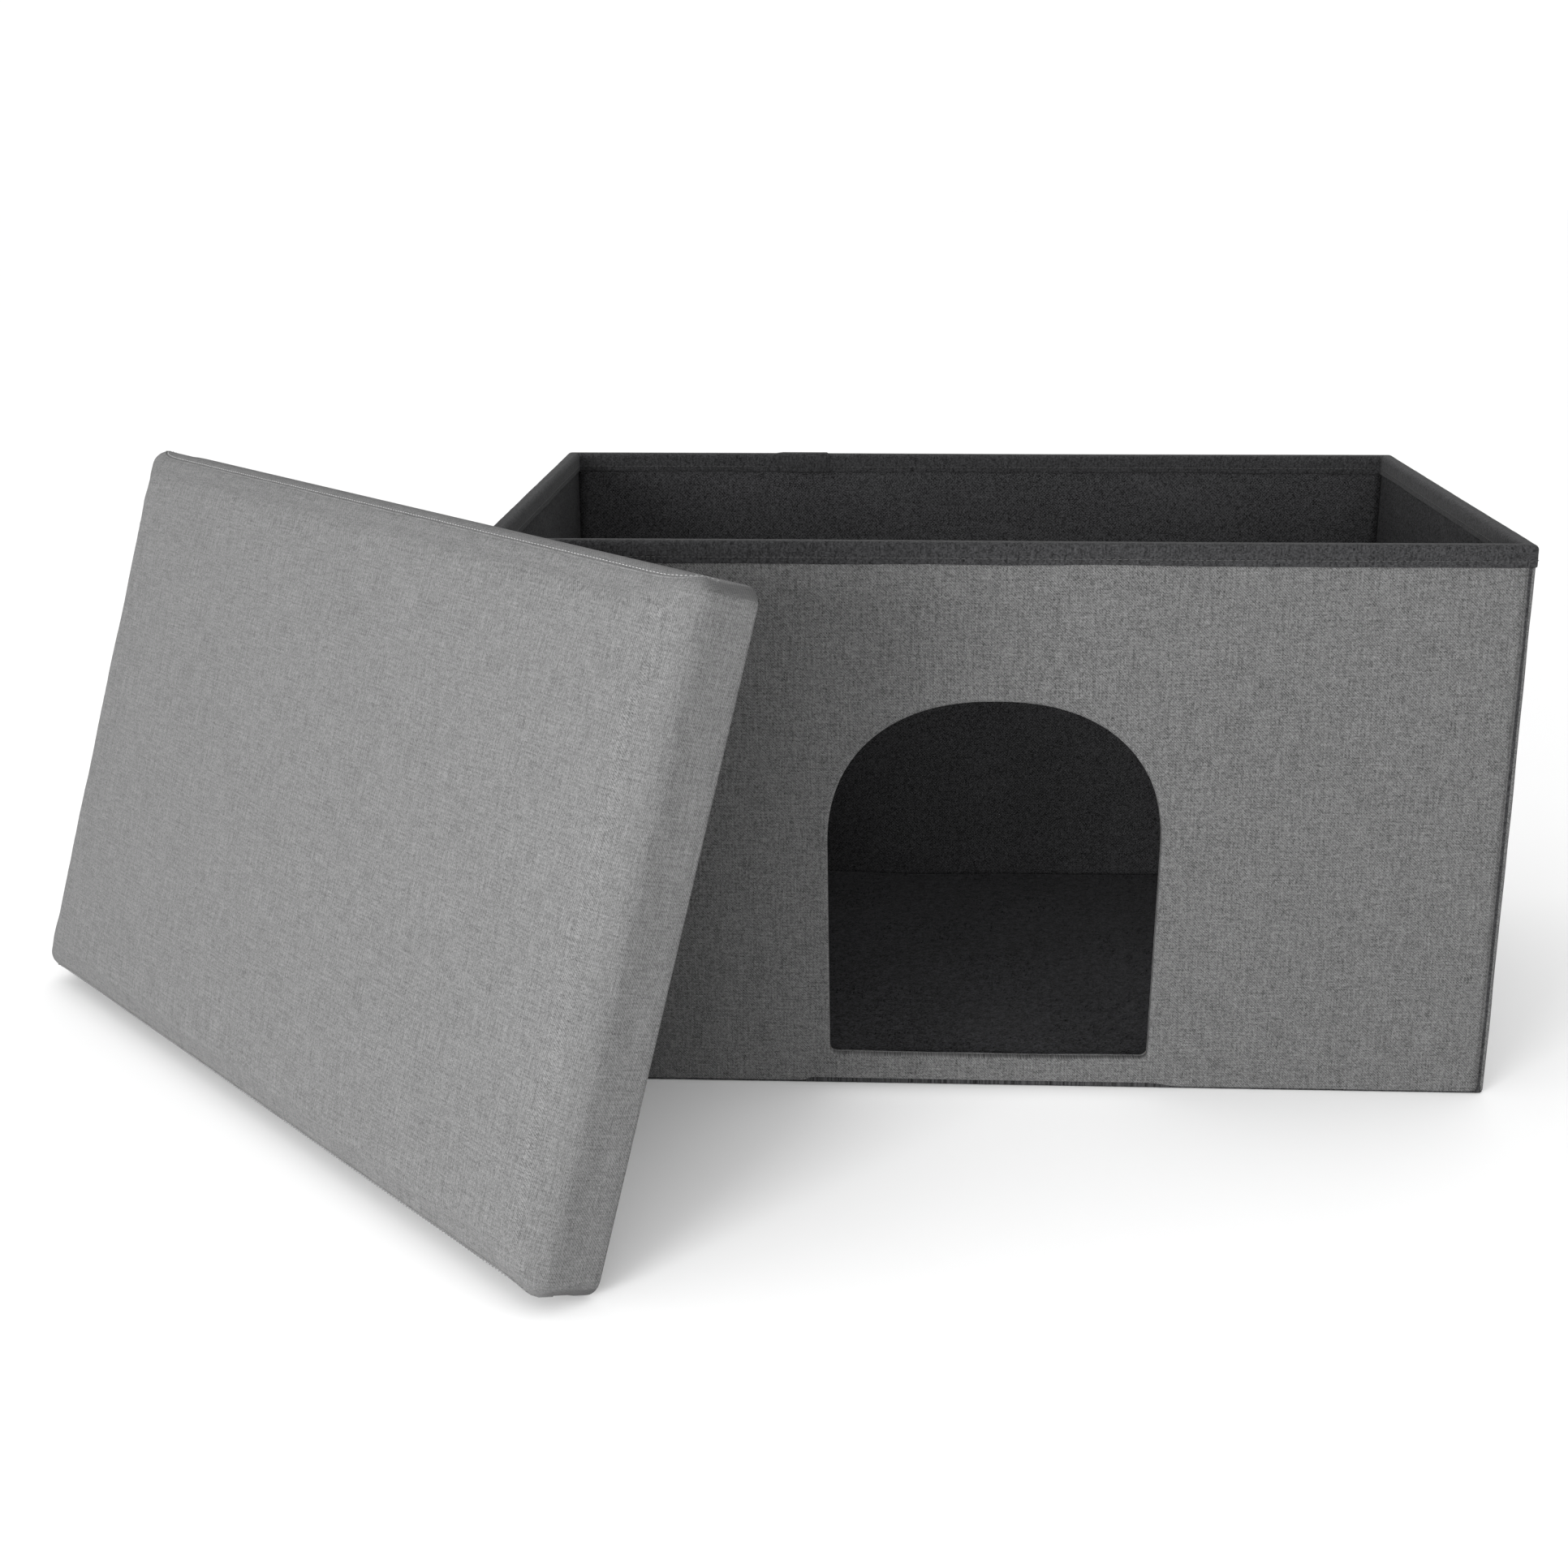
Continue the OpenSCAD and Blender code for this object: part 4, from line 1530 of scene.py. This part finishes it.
    def edge_seams(self, piece: bpy.types.Object) -> None:
        """The seam between the face and each long side: a fine raised fold of cloth with stitches below it.

        The seam's route is a line just in front of the long edge, dropped onto the cushion along the half-way
        direction between face and side, and turned into the side at both ends.

        Args:
            piece: the finished cushion.
        """
        length, width, thick = self.size
        tree = BVHTree.FromObject(piece, bpy.context.evaluated_depsgraph_get())
        folds, rows = [], []
        for end, facing in ((width, 1.0), (0.0, -1.0)):
            s = np.linspace(0.0, 1.0, 260)
            a = self.seam_start + (length - 2 * self.seam_start) * s
            from_start, from_end = a - self.seam_start, length - self.seam_start - a
            fade = self.seam_fade
            sink = self.seam_sink * (np.exp(-from_start / fade) + np.exp(-from_end / fade))
            aim = np.array([0.0, facing * 0.5, 0.866])
            centre = np.stack([a, end - facing * self.bullnose + 0 * a, thick - self.bullnose - sink], 1)
            far = centre + self.ray_length * aim
            origin = self.placed(far)
            way = -(aim @ self.axes)
            hits, outs = [], []
            for spot in origin:
                hit, normal, _, _ = tree.ray_cast(Vector(spot), Vector(way))
                if hit is not None:
                    hits.append(hit)
                    outs.append(normal)
            line, out = np.array(hits), np.array(outs)
            tangent, run = path_frame(line, False)
            side = np.cross(out, tangent)
            side /= np.linalg.norm(side, axis=1, keepdims=True)
            angle = np.radians(np.linspace(-20.0, 200.0, 9))
            r = self.seam_radius
            turn = angle[None, :, None]
            spokes = side[:, None] * np.cos(turn) + out[:, None] * np.sin(turn)
            points = line[:, None] - out[:, None] * (0.1 * MM) + spokes * r
            cloth = np.stack(np.meshgrid(run, angle * r, indexing="ij"), 2)
            folds.append(Surface.grid(points, cloth).flipped())
            shifted = line + side * 2.0 * MM * facing
            rows.append(Stitching(pitch=3.0 * MM, radius=0.25 * MM).along(shifted, out))
        fold = folds[0].joined(folds[1]).build("lid_seam_folds", self.cloth)
        settle(fold, Body.LID, Slot.LID)
        settle(rows[0].joined(rows[1]).build("lid_seam_stitches", self.thread), Body.LID, Slot.LID)

    def underside(self) -> None:
        """The black sheet that closes the underside, with a soft wave."""
        local = self.local(self.points_of(frame["nodes"]["lid_underside"]))
        low, high = local.min(0), local.max(0)
        a, b = np.linspace(low[0], high[0], 90), np.linspace(low[1], high[1], 60)
        A, B = np.meshgrid(a, b, indexing="ij")
        edge = np.minimum(np.minimum(A - low[0], high[0] - A), np.minimum(B - low[1], high[1] - B))
        wave = 0.35 * MM * ripple(A, B, 0.09, 121) * smooth(edge, 0.0, 20 * MM)
        points = self.placed(np.stack([A, B, low[2] - 0.35 * MM + wave], 2))
        piece = Surface.grid(points, np.stack([A, B], 2)).flipped().build("lid_underside_sheet", self.lining)
        thicken(piece, 0.7 * MM)
        settle(piece, Body.LID, Slot.LINING, "lid_underside")
        size = high - low

    def build(self) -> None:
        """Makes every piece of the lid."""
        piece = self.cushion()
        self.edge_seams(piece)
        self.underside()


# ---------------------------------------------------------------------------
# Studio
# ---------------------------------------------------------------------------


@dataclass(frozen=True)
class Lamp:
    """One soft square light that looks at a point."""

    name: str
    place: tuple[float, float, float]
    power: float
    size: float
    target: tuple[float, float, float] = (-0.05, -0.2, 0.2)

    def build(self) -> None:
        """Makes the light."""
        data = bpy.data.lights.new(self.name, "AREA")
        data.energy = self.power
        data.size = self.size
        light = bpy.data.objects.new(self.name, data)
        light.location = self.place
        light.visible_camera = False
        way = Vector(self.target) - Vector(self.place)
        light.rotation_mode = "QUATERNION"
        light.rotation_quaternion = way.to_track_quat("-Z", "Y")
        bpy.context.scene.collection.objects.link(light)


@dataclass(frozen=True)
class Studio:
    """Floor, world, lights and camera."""

    floor_size: float = 40.0
    world_light: float = 1.08
    eye: tuple[float, float, float] = (-0.0729, -1.5014, 0.6061)
    look_down: float = 16.87
    look_left: float = 2.8
    roll: float = -0.2
    lens: float = 48.22
    sensor: float = 36.0
    lamps: tuple[Lamp, ...] = (
        Lamp("key", (-1.624, -2.769, 0.618), 85.0, 1.1),
        Lamp("front_fill", (-0.566, -3.176, 0.618), 24.0, 1.1),
    )

    def floor(self) -> None:
        """A wide pale floor."""
        half = self.floor_size / 2
        side = np.linspace(-half, half, 9)
        x, y = np.meshgrid(side, side, indexing="ij")
        points = np.stack([x, y, 0 * x], 2)
        pale = StudioFloor("studio_floor").material()
        Surface.grid(points, points[..., :2]).build("floor", pale)

    def world(self) -> None:
        """A plain white world."""
        world = bpy.data.worlds.new("studio")
        bpy.context.scene.world = world
        world.use_nodes = True
        ground = world.node_tree.nodes["Background"]
        ground.inputs[0].default_value = (1.0, 1.0, 1.0, 1.0)
        ground.inputs[1].default_value = self.world_light

    def camera(self) -> None:
        """The camera, from its turn, its downward look and its roll."""
        yaw, pitch, roll = (math.radians(v) for v in (-self.look_left, self.look_down, self.roll))
        ahead = Vector((math.sin(yaw) * math.cos(pitch), math.cos(yaw) * math.cos(pitch), -math.sin(pitch)))
        right = Vector((math.cos(yaw), -math.sin(yaw), 0.0))
        up = right.cross(ahead)
        turned_right = right * math.cos(roll) + up * math.sin(roll)
        turned_up = up * math.cos(roll) - right * math.sin(roll)
        data = bpy.data.cameras.new("camera")
        data.lens, data.sensor_width = self.lens, self.sensor
        camera = bpy.data.objects.new("camera", data)
        turn = Matrix((turned_right, turned_up, -ahead)).transposed()
        camera.matrix_world = Matrix.Translation(Vector(self.eye)) @ turn.to_4x4()
        bpy.context.scene.collection.objects.link(camera)
        bpy.context.scene.camera = camera

    def build(self) -> None:
        """Sets up everything round the object."""
        self.floor()
        self.world()
        self.camera()
        for lamp in self.lamps:
            lamp.build()
        bpy.context.scene.view_settings.view_transform = "Standard"


def main() -> None:
    """Builds the ottoman in order, from the frame outwards, and the studio round it."""
    logging.basicConfig(level=logging.INFO, format="%(message)s")
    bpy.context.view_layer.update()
    Studio().build()
    linen = Linen("linen_cloth", grey=88.0).material()
    # The lid's twill is the walls' linen, smoother, in a lighter grey: the lighter grey is painted light for
    # the stronger light on the lid's face.
    lid_linen_painted_lighter = Linen("lid_cloth", grey=99.0, contrast=0.32, slub=0.5, tweed=0.42).material()
    lining = NonWoven("lining_cloth", grey=49.0).material()
    tape = BrushedTape("binding_tape", grey=46.0).material()
    fleece = Fleece("fleece", grey=30.0).material()
    dark_thread = Thread("dark_thread", grey=60.0).material()
    grey_thread = Thread("grey_thread", grey=120.0).material()
    pale_thread = Thread("pale_thread", grey=165.0).material()
    redress(Fibreboard("fibreboard").material(), "front_board", "back_board", "left_front_board",
            "left_rear_board", "right_front_board", "right_rear_board", "base_board_core", "lid_board")
    redress(Wire("steel_wire").material(), "lid_staples")
    Box(linen, lining, tape, dark_thread, grey_thread).build()
    BaseBoard(lining, dark_thread).build()
    FleecePad(fleece).build()
    Lid(lid_linen_painted_lighter, lining, pale_thread).build()


if __name__ == "__main__":
    main()
